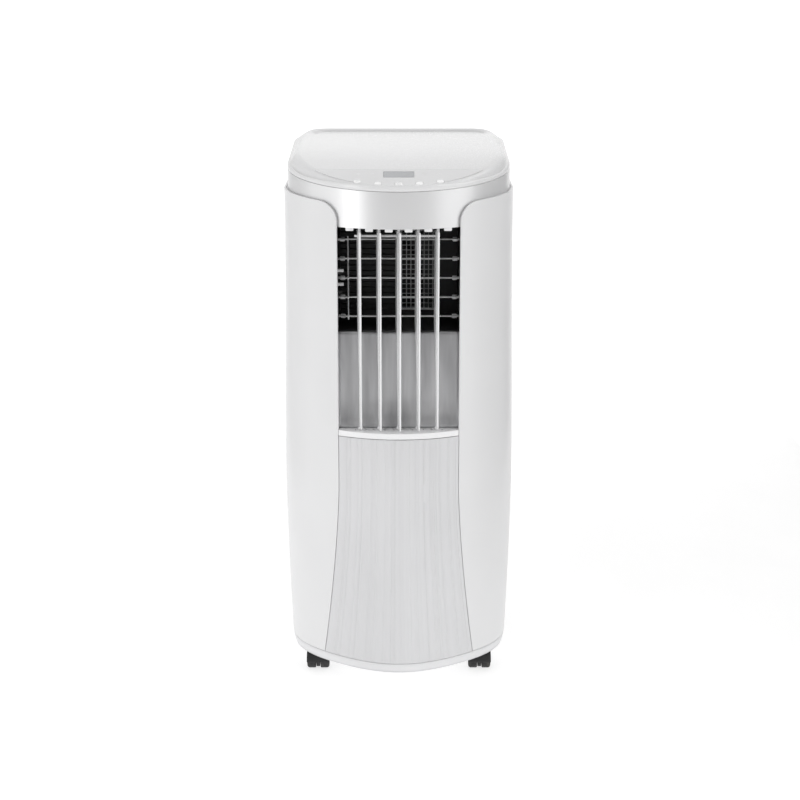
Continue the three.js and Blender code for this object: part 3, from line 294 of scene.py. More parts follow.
ALUMINIUM = worn("fin_aluminium", (0.62, 0.64, 0.66), (0.45, 0.47, 0.49), 0.35, 60, 0.1, 0.9)
ZINC = worn("zinc_sheet", (0.5, 0.52, 0.54), (0.38, 0.4, 0.43), 0.4, 45, 0.15, 0.9)
ENAMEL = worn("black_enamel", (0.012, 0.013, 0.014), (0.03, 0.03, 0.032), 0.35, 25, 0.2, 0.2)
BOARD = circuit("solder_mask")
DISPLAY_GLASS = smoked("display_pane_glass", (0.36, 0.37, 0.385))
PRINT = plastic("pale_print", (0.86, 0.86, 0.87), 0.4, grain=2000, bump=0.02)
DARK_PRINT = plastic("grey_print", (0.42, 0.42, 0.43), 0.5, grain=2000, bump=0.02)
STEEL = worn("screw_steel", (0.42, 0.43, 0.45), (0.3, 0.3, 0.32), 0.3, 300, 0.1, 0.95)
NET = plastic("filter_net", (0.10, 0.105, 0.11), 0.6, grain=800, bump=0.1)


# ---------- mesh building ----------
def make(name, points, faces):
    mesh = bpy.data.meshes.new(name)
    mesh.from_pydata([[c * MM for c in p] for p in points], [], faces)
    mesh.shade_smooth()
    obj = bpy.data.objects.new(name, mesh)
    bpy.context.collection.objects.link(obj)
    return obj


def quads(count, rows, wrap):
    """Faces between successive rows of count points."""
    faces = []
    for r in range(rows - 1):
        for c in range(count if wrap else count - 1):
            a = r * count + c
            b = r * count + (c + 1) % count
            faces.append((a, b, b + count, a + count))
    return faces


def sheet(name, rows):
    """A surface through rows of points. Rows that run to the right and upwards face the viewer."""
    return make(name, [p for row in rows for p in row], quads(len(rows[0]), len(rows), False))


def stack(name, rings):
    """A closed solid through rings of points that run anticlockwise, with flat ends."""
    count = len(rings[0])
    total = count * len(rings)
    bottom, top = tuple(reversed(range(count))), tuple(range(total - count, total))
    return make(name, [p for ring in rings for p in ring], [bottom, *quads(count, len(rings), True), top])


def prism(name, outline, h0, h1, place=Matrix()):
    """An anticlockwise outline of (u, v) drawn from h0 to h1 along the third axis of place."""
    return stack(name, [[place @ Vector((u, v, h)) for u, v in outline] for h in (h0, h1)])


ALONG_X = Matrix(((0, 0, 1, 0), (1, 0, 0, 0), (0, 1, 0, 0), (0, 0, 0, 1)))  # (u, v, h) is (y, z, x)
ALONG_Y = Matrix(((0, 1, 0, 0), (0, 0, 1, 0), (1, 0, 0, 0), (0, 0, 0, 1)))  # (u, v, h) is (z, x, y)


def arc(u, v, radius, start, sweep, steps):
    """Points on a circle about (u, v), from start over sweep degrees."""
    turns = [math.radians(start + sweep * i / steps) for i in range(steps + 1)]
    return [(u + radius * math.cos(t), v + radius * math.sin(t)) for t in turns]


def lathe(name, profile, centre, axis="Z", sides=48):
    """A profile of (radius, height), outside on its right, turned about an axis through centre."""
    turn = Matrix.Translation(centre) @ {"Z": Matrix(), "Y": ALONG_Y, "X": ALONG_X}[axis]
    rings = [arc(0, 0, radius, 0, 360, sides)[:-1] for radius, _ in profile]
    return stack(name, [[turn @ Vector((u, v, h)) for u, v in ring] for ring, (_, h) in zip(rings, profile)])


def rod(name, radius, start, end, centre, axis="Z", sides=24):
    """A plain round bar, or the cutter for a round hole."""
    return lathe(name, [(radius, start), (radius, end)], centre, axis, sides)


def ring_lathe(name, profile, centre, axis="Z", sides=48):
    """As lathe, for a profile that closes on itself round a hole."""
    obj = lathe(name, [*profile, profile[0]], centre, axis, sides)
    remove_faces(obj, [f.index for f in obj.data.polygons if len(f.vertices) == sides])
    return weld(obj)


def weld(obj):
    """Merges points that coincide and turns every face outward."""
    work = bmesh.new()
    work.from_mesh(obj.data)
    bmesh.ops.remove_doubles(work, verts=work.verts, dist=0.001 * MM)
    bmesh.ops.recalc_face_normals(work, faces=work.faces)
    work.to_mesh(obj.data)
    work.free()
    return obj


def remove_faces(obj, indices):
    work = bmesh.new()
    work.from_mesh(obj.data)
    work.faces.ensure_lookup_table()
    bmesh.ops.delete(work, geom=[work.faces[i] for i in indices], context="FACES_ONLY")
    work.to_mesh(obj.data)
    work.free()


def tube(name, path, radius, sides=14):
    """A round bar along a path of points, with closed ends."""
    points = [Vector(p) for p in path]
    rings = []
    side = (points[1] - points[0]).normalized().orthogonal().normalized()
    for i, point in enumerate(points):
        ahead = (points[min(i + 1, len(points) - 1)] - points[max(i - 1, 0)]).normalized()
        side = (side - ahead * side.dot(ahead)).normalized()
        other = ahead.cross(side)
        rings.append([point + side * u + other * v for u, v in arc(0, 0, radius, 0, 360, sides)[:-1]])
    return stack(name, rings)


def rounded(u0, u1, v0, v1, radius, steps=6):
    """A rounded rectangle as an anticlockwise outline."""
    points = arc(u1 - radius, v0 + radius, radius, -90, 90, steps)
    points += arc(u1 - radius, v1 - radius, radius, 0, 90, steps)
    points += arc(u0 + radius, v1 - radius, radius, 90, 90, steps)
    return points + arc(u0 + radius, v0 + radius, radius, 180, 90, steps)


def upright(name, u0, u1, v0, v1, radius, y0, y1, steps=6):
    """A rounded rectangle of x from u0 to u1 and z from v0 to v1, drawn from y0 to y1."""
    return prism(name, [(v, u) for u, v in rounded(u0, u1, v0, v1, radius, steps)[::-1]], y0, y1, ALONG_Y)


def thicken(obj, thickness):
    solid = obj.modifiers.new("wall", "SOLIDIFY")
    solid.thickness = thickness * MM
    solid.offset = -1
    solid.use_even_offset = True
    return obj


def soften(obj, width, segments=3, angle=35):
    bevel = obj.modifiers.new("edges", "BEVEL")
    bevel.width = width * MM
    bevel.segments = segments
    bevel.limit_method = "ANGLE"
    bevel.angle_limit = math.radians(angle)
    bevel.harden_normals = True
    return obj


def bake(obj):
    graph = bpy.context.evaluated_depsgraph_get()
    mesh = bpy.data.meshes.new_from_object(obj.evaluated_get(graph))
    obj.modifiers.clear()
    obj.data = mesh


def carve(obj, *cutters):
    for cutter in cutters:
        boolean = obj.modifiers.new("cut", "BOOLEAN")
        boolean.operation = "DIFFERENCE"
        boolean.solver = "EXACT"
        boolean.object = cutter
        bake(obj)
        bpy.data.objects.remove(cutter)
    return obj


def join(name, parts):
    bpy.ops.object.select_all(action="DESELECT")
    for part in parts:
        if part.modifiers:
            bake(part)
        part.select_set(True)
    bpy.context.view_layer.objects.active = parts[0]
    if len(parts) > 1:
        bpy.ops.object.join()
    parts[0].name = name
    return parts[0]


def finish(obj, material, body=CABINET, nodes=()):
    """Paints a piece, ties it to its body, and hides the CAD nodes it stands in for."""
    obj.data.materials.clear()
    obj.data.materials.append(material)
    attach(obj, body)
    if nodes:
        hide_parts(*nodes)


def clamp(value, low_end=0.0, high_end=1.0):
    return max(low_end, min(high_end, value))


def series(start, end, step):
    """Values from start, a step apart, that stay under end."""
    values = []
    while start < end:
        values.append(start)
        start += step
    return values


# ---------- the casing's outline, as in the CAD ----------
FRONT_Y = low("lower_front_panel")[1]
WIDEST_HALF = high("side_panel_right")[0]
WIDEST_Z = 320
UPRIGHT_Z = 750  # above this the sides stand upright
TOP_PULL = 5.3
BOTTOM_PULL = 7.7
FRONT_DEPTH = 170
FRONT_DEPTH_PULL = 10
PINCH_TOP_Z = 428  # below this the front's corners flatten
BASE_PINCH = 0.3
CENTRE_Y = FRONT_Y + FRONT_DEPTH
REAR_RADIUS = 40
BASE_BOTTOM_Z, BASE_TOP_Z = low("base_tray")[2], high("base_tray")[2]
REAR_Y = high("base_tray")[1]
PANEL_BOTTOM_Z, SIDE_TOP_Z = low("side_panel_left")[2], high("side_panel_left")[2]
REAR_SEAM_Y = high("side_panel_left")[1]
OPENING_HALF = low("side_panel_right")[0]
OPENING_BOTTOM_Z = high("lower_front_panel")[2]
GAP = 1
WALL = 3
SHOULDER_Z = 768
SHOULDER_RADIUS = 30
FLARE_START_Z = 350
FLARE = 27
NECK_INSET = 6
UPPER_REAR_Y = high("top_cover")[1]
UPPER_REAR_RADIUS = 36
LEDGE_TOP_Z = high("vane_ledge")[2]
BAND_BOTTOM_Z = 759
BAND_SIDE_Z = 786  # lower edge of the neck where the side panels hide it
BAND_REAR_Y = high("upper_front_band")[1]
SEAM_CLEAR = 0.1
LID_CLEAR = 0.35
DUCT_WALL = 2.5


def half_width(z):
    if z > WIDEST_Z:
        share = min((z - WIDEST_Z) / (UPRIGHT_Z - WIDEST_Z), 1)
        return WIDEST_HALF - TOP_PULL * share ** 2 * (3 - 2 * share)
    return WIDEST_HALF - BOTTOM_PULL * ((WIDEST_Z - z) / (WIDEST_Z - BASE_TOP_Z)) ** 1.7


def front_depth(z):
    if z > WIDEST_Z:
        return FRONT_DEPTH
    return FRONT_DEPTH - FRONT_DEPTH_PULL * ((WIDEST_Z - z) / (WIDEST_Z - BASE_TOP_Z)) ** 2


def front_pinch(z):
    return BASE_PINCH * max(0, (PINCH_TOP_Z - z) / (PINCH_TOP_Z - BASE_TOP_Z)) ** 1.3


def front_point(x, z, inset=0.0):
    """The point of the rounded front at x and z, inset from the casing's surface."""
    depth = front_depth(z)
    a, b = half_width(z) - inset, depth - inset
    across = min(1, (x / a) ** 2)
    reach = b * math.sqrt(1 - across) * (1 - front_pinch(z) * across * (1 - across))
    return (x, FRONT_Y + depth - reach, z)


def front_at(x):
    """Y of the rounded front at its fullest."""
    return FRONT_Y + FRONT_DEPTH * (1 - math.sqrt(1 - (x / WIDEST_HALF) ** 2))


def front_arc(half, z, inset, steps):
    """Points (x, y) along the rounded front, from -half to half."""
    return [front_point(-half + 2 * half * i / steps, z, inset)[:2] for i in range(steps + 1)]


def seam_half(z):
    if z >= FLARE_START_Z:
        return OPENING_HALF
    return OPENING_HALF + FLARE * ((FLARE_START_Z - z) / (FLARE_START_Z - PANEL_BOTTOM_Z)) ** 1.5


def closed_ring(a, b, centre, rear, radius, taper, height, pinch=0, front=36, side=14, corner=10, back=12):
    """Anticlockwise ring of points: half ellipse in front, straight sides, rounded rear corners."""
    right = []
    for i in range(front):
        angle = math.pi / 2 * i / front
        cut = 1 - pinch * (math.sin(angle) * math.cos(angle)) ** 2
        right.append((a * math.sin(angle), centre - b * math.cos(angle) * cut))
    corner_x, corner_y = a - taper - radius, rear - radius
    right += [(a - taper * i / side, centre + (corner_y - centre) * i / side) for i in range(side)]
    right += arc(corner_x, corner_y, radius, 0, 90, corner)[:-1]
    right += [(corner_x * (1 - i / back), rear) for i in range(back + 1)]
    left = [(-x, y) for x, y in reversed(right[1:-1])]
    return [(x, y, height(y)) for x, y in [*right, *left]]


def casing_ring(z, inset):
    depth = front_depth(z)
    return closed_ring(half_width(z) - inset, depth - inset, FRONT_Y + depth, REAR_Y - inset,
                       REAR_RADIUS - inset, 0, lambda y: z, front_pinch(z))


LID_FOOT_Z = 802.5
LID_HALF = half_width(LID_FOOT_Z)
SEAM_FRONT_Z = 815
SEAM_FRONT_SLOPE, SEAM_REAR_SLOPE = 0.115, 0.09


def lid_ring(inset, height, lean=0, taper=0):
    return closed_ring(LID_HALF - inset - lean, FRONT_DEPTH - inset, CENTRE_Y,
                       UPPER_REAR_Y + NECK_INSET - inset, UPPER_REAR_RADIUS + NECK_INSET - inset, taper, height)


def seam_height(y):
    """Height of the seam between neck and lid, which climbs to the rear."""
    back = y - FRONT_Y
    front_rise = SEAM_FRONT_SLOPE * min(back, FRONT_DEPTH)
    return SEAM_FRONT_Z + front_rise + SEAM_REAR_SLOPE * max(back - FRONT_DEPTH, 0)


CONTROL_SLOPE = 0.27
CONTROL_TILT = math.atan(CONTROL_SLOPE)
CONTROL_EDGE_Y, CONTROL_EDGE_Z = -196, 823.5
CONTROL_DEPTH = 66
CONTROL_HALF, CONTROL_REACH = 165, 160
LID_RISE = 29.1
CONTROL_PLACE = Matrix.Translation((0, CONTROL_EDGE_Y, CONTROL_EDGE_Z)) @ Matrix.Rotation(CONTROL_TILT, 4, "X")


def top_height(y):
    back = y - CONTROL_EDGE_Y
    if back < CONTROL_DEPTH:
        return CONTROL_EDGE_Z + CONTROL_SLOPE * back
    level = 1 - math.exp(-(back - CONTROL_DEPTH) * CONTROL_SLOPE / LID_RISE)
    return CONTROL_EDGE_Z + CONTROL_SLOPE * CONTROL_DEPTH + LID_RISE * level


# ---------- casing panels ----------
def side_columns(z, shoulder_steps=10, front_steps=34, side_steps=22):
    """Points (x, y) round the right side panel at one height, from its inner edge to the rear seam."""
    a = half_width(z)
    centre = FRONT_Y + front_depth(z)
    start = seam_half(z)
    first = math.asin((start + SHOULDER_RADIUS) / a)
    across = [start + SHOULDER_RADIUS * (1 - math.cos(math.pi / 2 * i / shoulder_steps))
              for i in range(shoulder_steps)]
    across += [a * math.sin(first + (math.pi / 2 - first) * i / front_steps) for i in range(front_steps)]
    points = [front_point(x, z)[:2] for x in across]
    return points + [(a, centre + (REAR_SEAM_Y - centre) * i / side_steps) for i in range(side_steps + 1)]


def side_top(x):
    """Height of a side panel's top edge, which curves down to the opening."""
    flat = OPENING_HALF + SHOULDER_RADIUS
    if x < flat:
        return SHOULDER_Z + math.sqrt(max(0, SHOULDER_RADIUS ** 2 - (flat - x) ** 2))
    return SHOULDER_Z + SHOULDER_RADIUS + (x - flat) * 4.5 / (200 - flat)


GRIP_Y = (10, 112)
GRIP_Z = (640, 676)


def side_panel(side, name, node):
    rows = []
    levels = 64
    tops = [side_top(x) for x, _ in side_columns(SIDE_TOP_Z)]
    for r in range(levels + 1):
        row = []
        for c, top in enumerate(tops):
            z = PANEL_BOTTOM_Z + (top - PANEL_BOTTOM_Z) * r / levels
            x, y = side_columns(z)[c]
            row.append((side * x, y, z))
        rows.append(row[::side])
    panel = thicken(sheet(name, rows), WALL)
    reach = sorted((side * (WIDEST_HALF - 12), side * (WIDEST_HALF + 12)))
    carve(panel, prism("cut", rounded(*GRIP_Y, *GRIP_Z, 15, 8), *reach, ALONG_X))
    finish(soften(panel, 1.1), WHITE, nodes=[node])
    grip_cup(side, name + "_grip")


def grip_cup(side, name):
    """The moulded cup behind a side panel's hand hole."""
    mouth_x = half_width(GRIP_Z[0]) - WALL + 0.2
    rings = []
    for depth, inset in ((0, 0), (4, 0.3), (14, 2.2), (17, 5), (18, 10)):
        edge = inset - 0.6
        outline = rounded(GRIP_Y[0] + edge, GRIP_Y[1] - edge, GRIP_Z[0] + edge, GRIP_Z[1] - edge,
                          15.6 - min(inset, 9), 8)
        rings.append([(side * (mouth_x - depth), y, z) for y, z in outline[::-side]])
    cup = stack(name, rings)
    remove_faces(cup, [0])
    wall = cup.modifiers.new("wall", "SOLIDIFY")
    wall.thickness = 1.5 * MM
    wall.offset = 1
    finish(cup, WHITE)


STRIATION_SEED = 11
STRIATIONS = 64


def lower_front_panel():
    """The flared centre panel, ribbed by fine irregular grooves."""
    generator = random.Random(STRIATION_SEED)
    edges = sorted(generator.uniform(-0.985, 0.985) for _ in range(STRIATIONS))
    columns = [(-1.0, 0.0)]
    for share in edges:
        half = generator.uniform(0.0025, 0.0045)
        depth = generator.uniform(0.12, 0.32)
        if share - half > columns[-1][0] + 0.002:
            columns += [(share - half, 0.0), (share, depth), (share + half, 0.0)]
    columns.append((1.0, 0.0))
    rows = []
    levels = 48
    for r in range(levels + 1):
        z = PANEL_BOTTOM_Z + (OPENING_BOTTOM_Z - PANEL_BOTTOM_Z) * r / levels
        half = seam_half(z) - GAP
        rows.append([front_point(share * half, z, depth) for share, depth in columns])
    panel = soften(thicken(sheet("lower_panel", rows), WALL), 0.9, 3, 60)
    finish(panel, STRIATED, nodes=["lower_front_panel"])


def rear_columns(z, side=8, corner=12, back=20):
    """Points (x, y) round the rear panel at one height, from right to left."""
    a = half_width(z)
    seam_y, corner_y = REAR_SEAM_Y + GAP, REAR_Y - REAR_RADIUS
    right = [(a, seam_y + (corner_y - seam_y) * i / side) for i in range(side)]
    right += arc(a - REAR_RADIUS, corner_y, REAR_RADIUS, 0, 90, corner)[:-1]
    right += [((a - REAR_RADIUS) * (1 - i / back), REAR_Y) for i in range(back)]
    return [*right, (0, REAR_Y), *[(-x, y) for x, y in right[::-1]]]


DRAINS = ("drain_plug_upper", "drain_plug_lower")
DRAIN_HOLE = 6.5


def rear_panel():
    rows = []
    levels = 30
    for r in range(levels + 1):
        z = PANEL_BOTTOM_Z + (SIDE_TOP_Z + 0.6 - PANEL_BOTTOM_Z) * r / levels
        rows.append([(x, y, z) for x, y in rear_columns(z)])
    panel = thicken(sheet("rear_shell", rows), WALL)
    cutters = []
    margin = 0.7
    for node in ("upper_filter_grille", "lower_filter_grille"):
        lo, hi = span(node)
        cutters.append(upright("cut", lo[0] - margin, hi[0] + margin, lo[2] - margin, hi[2] + margin, 8,
                               REAR_Y - 30, REAR_Y + 30))
    collar_hole = (high("exhaust_collar")[0] - low("exhaust_collar")[0]) / 2 - 11
    drain_holes = [(node, DRAIN_HOLE, 32) for node in DRAINS]
    for node, radius, sides in [("exhaust_collar", collar_hole, 64), *drain_holes, ("cord_gland", 8.4, 32)]:
        x, _, z = middle(node)
        cutters.append(rod("cut", radius, -30, 30, (x, REAR_Y, z), "Y", sides))
    carve(panel, *cutters)
    finish(soften(panel, 0.8), WHITE, nodes=["rear_panel"])
    for i, node in enumerate(DRAINS):
        x, _, z = middle(node)
        profile = [(DRAIN_HOLE, -4), (9.5, -4), (9.5, 5), (8.5, 6), (DRAIN_HOLE, 6)]
        finish(ring_lathe(f"drain_spout_{i + 1}", profile, (x, REAR_Y, z), "Y", 40), WHITE)


def neck_arc(inset, rear_y, front=96, side=14):
    """Points (x, y) round the neck, from its left rear end round the front to its right rear end."""
    a, b = LID_HALF - inset, FRONT_DEPTH - inset
    points = [(-a, rear_y + (CENTRE_Y - rear_y) * i / side) for i in range(side)]
    for i in range(front):
        angle = math.pi * (i / front - 0.5)
        points.append((a * math.sin(angle), CENTRE_Y - b * math.cos(angle)))
    return points + [(a, CENTRE_Y + (rear_y - CENTRE_Y) * i / side) for i in range(side + 1)]


def upper_front_band():
    levels = 20
    rows = [[] for _ in range(levels + 1)]
    for x, y in neck_arc(NECK_INSET, BAND_REAR_Y):
        bottom = BAND_BOTTOM_Z + (BAND_SIDE_Z - BAND_BOTTOM_Z) * clamp((abs(x) - 99) / 4)
        top = seam_height(y) - SEAM_CLEAR
        for r, row in enumerate(rows):
            row.append((x, y, bottom + (top - bottom) * r / levels))
    band = soften(thicken(sheet("front_band", rows), WALL), 0.9)
    finish(band, PEARL, nodes=["upper_front_band"])

    half = OPENING_HALF - 1.5
    outline = [*front_arc(half, BAND_BOTTOM_Z, NECK_INSET + 1.5, 32), (half, -165), (-half, -165)]
    parts = [soften(prism("shelf", outline, BAND_BOTTOM_Z + 0.2, BAND_BOTTOM_Z + 3), 0.5, 2)]
    for i in range(len(VANES) + 1):
        x = (i - len(VANES) / 2) * VANE_PITCH
        y = front_at(x) + 10
        tab = upright("tab", x - 6, x + 6, BAND_BOTTOM_Z - 5, BAND_BOTTOM_Z + 1.5, 1.6, y, y + 2, 4)
        parts.append(soften(tab, 0.5, 2))
    finish(join("band_shelf", parts), VANE_WHITE)


NECK_LEDGE_COLUMNS = 30


def neck_ledges():
    """The white lining between each side panel and the neck, just under the panel's curved top edge."""
    x0, flat = OPENING_HALF + 0.9, OPENING_HALF + SHOULDER_RADIUS
    curve = [(x0, BAND_BOTTOM_Z + 1), (x0, SHOULDER_Z), *arc(flat, SHOULDER_Z, flat - x0, 180, -90, 13)[1:-1]]
    for side, name in ((-1, "neck_ledge_left"), (1, "neck_ledge_right")):
        rows = []
        for inset in (WALL - 0.5, NECK_INSET + 0.5):
            back = [p for p in lid_ring(inset, lambda y: 0) if side * p[0] > flat and p[1] < REAR_SEAM_Y]
            back = sorted(back, key=lambda p: p[1])[-NECK_LEDGE_COLUMNS:]
            rows.append([front_point(side * x, z, inset) for x, z in curve]
                        + [(x, y, side_top(abs(x)) - 1) for x, y, _ in back])
        finish(thicken(sheet(name, rows[::side]), 0.8), WHITE)


def vane_ledge():
    half = OPENING_HALF - GAP
    bottom = OPENING_BOTTOM_Z + 1
    outline = [*front_arc(half, LEDGE_TOP_Z, 0.35, 48), (half, -158), (-half, -158)]
    ledge = prism("ledge", outline, bottom, LEDGE_TOP_Z)
    cutters = []
    for x, y, _ in VANES:
        cutters.append(rod("cut", 2.7, bottom - 2, LEDGE_TOP_Z + 2, (x, y, 0)))
        for slot_x in (x - 8, x + 8):
            slot = rounded(slot_x - 1.7, slot_x + 1.7, y - 3, y + 3, 1.2, 4)
            cutters.append(prism("cut", slot, bottom - 2, LEDGE_TOP_Z + 2))
    finish(soften(carve(ledge, *cutters), 1.2, 3, 50), VANE_WHITE, nodes=["vane_ledge"])


def deflector():
    """The silver cove behind the vanes: hollow in plan, and swept forward at its foot."""
    foot, top = LEDGE_TOP_Z + 1.2, high("deflector_panel")[2] + 2
    half = high("outlet_duct")[0] - 2.8
    steps, columns = 26, 48
    rows = []
    for i in range(steps + 1):
        share = i / steps
        y = -159 + 14.2 * share ** 1.1 - 8.5 * math.exp(-share * 13)
        z = foot + (top - foot) * share
        hollow = 3.5 * clamp((z - LEDGE_TOP_Z) / 40)
        across = [-1 + 2 * c / columns for c in range(columns + 1)]
        rows.append([(half * x, y + hollow * (1 - x ** 2), z) for x in across])
    parts = [thicken(sheet("cove", rows), 1.6)]
    outline = [(-171, LEDGE_TOP_Z + 0.5), (-146, LEDGE_TOP_Z + 0.5), (-141, top), (-171, top)]
    for side in (-1, 1):
        reach = sorted((side * (half - 0.3), side * (half + 1.6)))
        parts.append(soften(prism("cheek", outline, *reach, ALONG_X), 0.4, 2))
    finish(join("deflector", parts), SILVER, nodes=["deflector_panel"])


def duct_details():
    """Moulded ribs on the duct's rear wall, and two stubs on its left wall."""
    lo, hi = span("outlet_duct")
    wall_y = hi[1] - DUCT_WALL
    ribs = [upright("rib", lo[0] + 4, -4, z - 0.8, z + 0.8, 0.7, wall_y - 1.6, wall_y + 0.3, 3)
            for z in series(lo[2] + 14, hi[2] - 10, 9)]
    finish(join("duct_ribs", ribs), BLACK)
    stubs = []
    for z in (665.5, 687):
        outline = rounded(-150.5, -145.5, z - 2.4, z + 2.4, 1.6, 4)
        stubs.append(soften(prism("stub", outline, lo[0] + 1, lo[0] + 12, ALONG_X), 0.6, 2, 50))
    finish(join("duct_stubs", stubs), VANE_WHITE)


def outlet_guard():
    """A welded grid of wires in a thin rim."""
    lo, hi = span("outlet_guard")
    rim_width, bays, rungs = 3.4, 8, 17
    x0, x1, z0, z1 = lo[0] + rim_width, hi[0] - rim_width, lo[2] + rim_width, hi[2] - rim_width
    y = lo[1] + 1.2
    rim = upright("rim", lo[0], hi[0], lo[2], hi[2], 3, lo[1], hi[1])
    carve(rim, upright("cut", x0, x1, z0, z1, 2, lo[1] - 5, hi[1] + 5))
    parts = [soften(rim, 0.4, 2)]
    for i in range(1, bays):
        x = x0 + (x1 - x0) * i / bays
        parts.append(tube("wire", [(x, y, z0), (x, y, z1)], 0.8, 8))
    for i in range(1, rungs):
        z = z0 + (z1 - z0) * i / rungs
        parts.append(tube("wire", [(x0, y - 0.5, z), (x1, y - 0.5, z)], 0.65, 8))
    finish(join("guard_grid", parts), GUARD_GREY, nodes=["outlet_guard"])


# ---------- vanes and louvers ----------
JOINTS = {joint["name"]: joint for joint in frame["record"]["behaviour"]["joints"]}


def pivot_of(joint):
    return [v / MM for v in JOINTS[joint]["pos_m"]]


VANES = [pivot_of(f"vane_{i}_swing") for i in range(1, 6)]
VANE_PITCH = VANES[1][0] - VANES[0][0]
VANE_REST = math.radians(8)
VANE_CRANK = 18
VANE_REAR = 27.5
VANE_WAIST = 8
VANE_BEND_Z, VANE_BEND_RISE = 520, 86
LOUVERS = [pivot_of(f"louver_{i}_tilt") for i in range(1, 6)]
LOUVER_REST = math.radians(-10)
LOUVER_CRANK = 17


def vane_place(x, y):
    return Matrix.Translation((x, y, 0)) @ Matrix.Rotation(VANE_REST, 4, "Z")


def vane(index):
    """An upright blade that widens to the rear at its bend, notched round the link bar's pin."""
    x, y, _ = VANES[index]
    node = f"vane_{index + 1}"
    lo, hi = span(node)
    pin_z = middle("vane_link_bar")[2]
    front = front_at(abs(x) + 3) + 7 - y
    foot = LEDGE_TOP_Z + 2
    notch = VANE_CRANK - 5.5
    outline = [(front, foot), (3, foot), (4.5, VANE_BEND_Z - 50), (VANE_WAIST, VANE_BEND_Z)]
    bend = 12
    for i in range(1, bend + 1):
        share = i / bend
        reach = share * 0.75 + 0.25 * share ** 2 * (3 - 2 * share)
        outline.append((VANE_WAIST + (VANE_REAR - VANE_WAIST) * reach, VANE_BEND_Z + VANE_BEND_RISE * share))
    outline += [(VANE_REAR, pin_z - 4), (notch, pin_z - 4), (notch, pin_z + 4), (VANE_REAR, pin_z + 4),
                (VANE_REAR, BAND_BOTTOM_Z - 8), (front, BAND_BOTTOM_Z - 6)]
    place = vane_place(x, y)
    pin_x, pin_y, _ = place @ Vector((0, VANE_CRANK, 0))
    collar = [(3.4, LEDGE_TOP_Z + 0.6), (3.6, LEDGE_TOP_Z + 1), (3.6, foot + 1.5), (2.2, foot + 4)]
    parts = [
        soften(prism("blade", outline, -1.3, 1.3, place @ ALONG_X), 0.95, 3, 50),
        rod("pivot", 2.1, lo[2], hi[2], (x, y, 0), "Z", 20),
        lathe("shoulder", collar, (x, y, 0), "Z", 24),
        lathe("pin", [(1.3, pin_z - 5), (1.3, pin_z + 4), (1.0, pin_z + 4.6)], (pin_x, pin_y, 0), "Z", 16),
    ]
    finish(join(f"vane_blade_{index + 1}", parts), VANE_WHITE, node, [node])


def vane_link_bar():
    lo, hi = span("vane_link_bar")
    bar = prism("link_bar", rounded(lo[0], hi[0], lo[1], hi[1], 2.7), lo[2], hi[2])
    for x, y, _ in VANES:
        pin_x, pin_y, _ = vane_place(x, y) @ Vector((0, VANE_CRANK, 0))
        carve(bar, rod("cut", 1.7, lo[2] - 3, hi[2] + 3, (pin_x, pin_y, 0), "Z", 20))
    finish(soften(bar, 0.5, 2, 50), VANE_WHITE, "vane_link", ["vane_link_bar"])


def louver(index):
    node = f"louver_{index + 1}"
    _, y, z = LOUVERS[index]
    half = high("outlet_duct")[0] - DUCT_WALL - 2
    section = []
    for across, upward in arc(0, 0, 1, 0, 360, 22)[:-1]:
        u = 12 * math.copysign(abs(across) ** 0.8, across)
        section.append((u, (1.15 - 0.03 * u) * math.copysign(abs(upward) ** 0.7, upward)))
    place = Matrix.Translation((0, y, z)) @ Matrix.Rotation(LOUVER_REST, 4, "X")
    parts = [soften(prism("blade", section, -half, half, place @ ALONG_X), 0.4, 2, 50)]
    for side, end in ((-1, low(node)[0]), (1, high(node)[0])):
        parts.append(rod("shaft", 2.1, *sorted((side * (half - 6), end)), (0, y, z), "X", 18))
        b0, b1 = sorted((side * (half - 9), side * (half - 1)))
        parts.append(lathe("boss", [(2.6, b0), (3.6, b0 + 1), (3.6, b1 - 1), (2.6, b1)], (0, y, z), "X", 24))
    rod_x = middle("louver_link_rod")[0]
    arm = rounded(-LOUVER_CRANK - 2.2, -8, -1.2, 1.2, 1.1, 4)
    parts.append(prism("arm", arm, rod_x - 4.5, rod_x - 2.2, place @ ALONG_X))
    _, pin_y, pin_z = place @ Vector((0, -LOUVER_CRANK, 0))
    pin = [(1.1, rod_x - 4), (1.1, rod_x + 2.2), (0.8, rod_x + 2.6)]
    parts.append(lathe("pin", pin, (0, pin_y, pin_z), "X", 14))
    finish(join(f"louver_blade_{index + 1}", parts), LOUVER_WHITE, node, [node])


def louver_rod():
    lo, hi = span("louver_link_rod")
    mid_y = (lo[1] + hi[1]) / 2
    outline = rounded(lo[1] + 0.6, hi[1] - 0.6, lo[2], hi[2], 1.3, 4)
    bar = prism("bar", outline, lo[0] + 0.2, hi[0] - 0.2, ALONG_X)
    eyes = []
    for _, _, z in LOUVERS:
        eye = (0, mid_y, z - LOUVER_CRANK * math.sin(LOUVER_REST))
        carve(bar, rod("cut", 1.5, lo[0] - 3, hi[0] + 3, eye, "X", 20))
        eyes.append(ring_lathe("eye", [(1.5, lo[0]), (2.9, lo[0]), (2.9, hi[0]), (1.5, hi[0])], eye, "X", 24))
    finish(join("louver_rod", [bar, *eyes]), LOUVER_WHITE, "louver_link", ["louver_link_rod"])


# ---------- lid and controls ----------
LIP_RISE = 4.2
LIP_START_Y, LIP_FULL_Y = 130, 158
BEAD_LEAST, BEAD_EXTRA, BEAD_SLACKENING = 4.2, 6.1, 87
BEAD_FADE_Y, BEAD_FADE_LENGTH = -120, 70


def bead_height(y):
    """Height of the rounded bead round the lid's foot, tallest in front."""
    return BEAD_LEAST + BEAD_EXTRA * math.exp(-(y - CONTROL_EDGE_Y) / BEAD_SLACKENING)


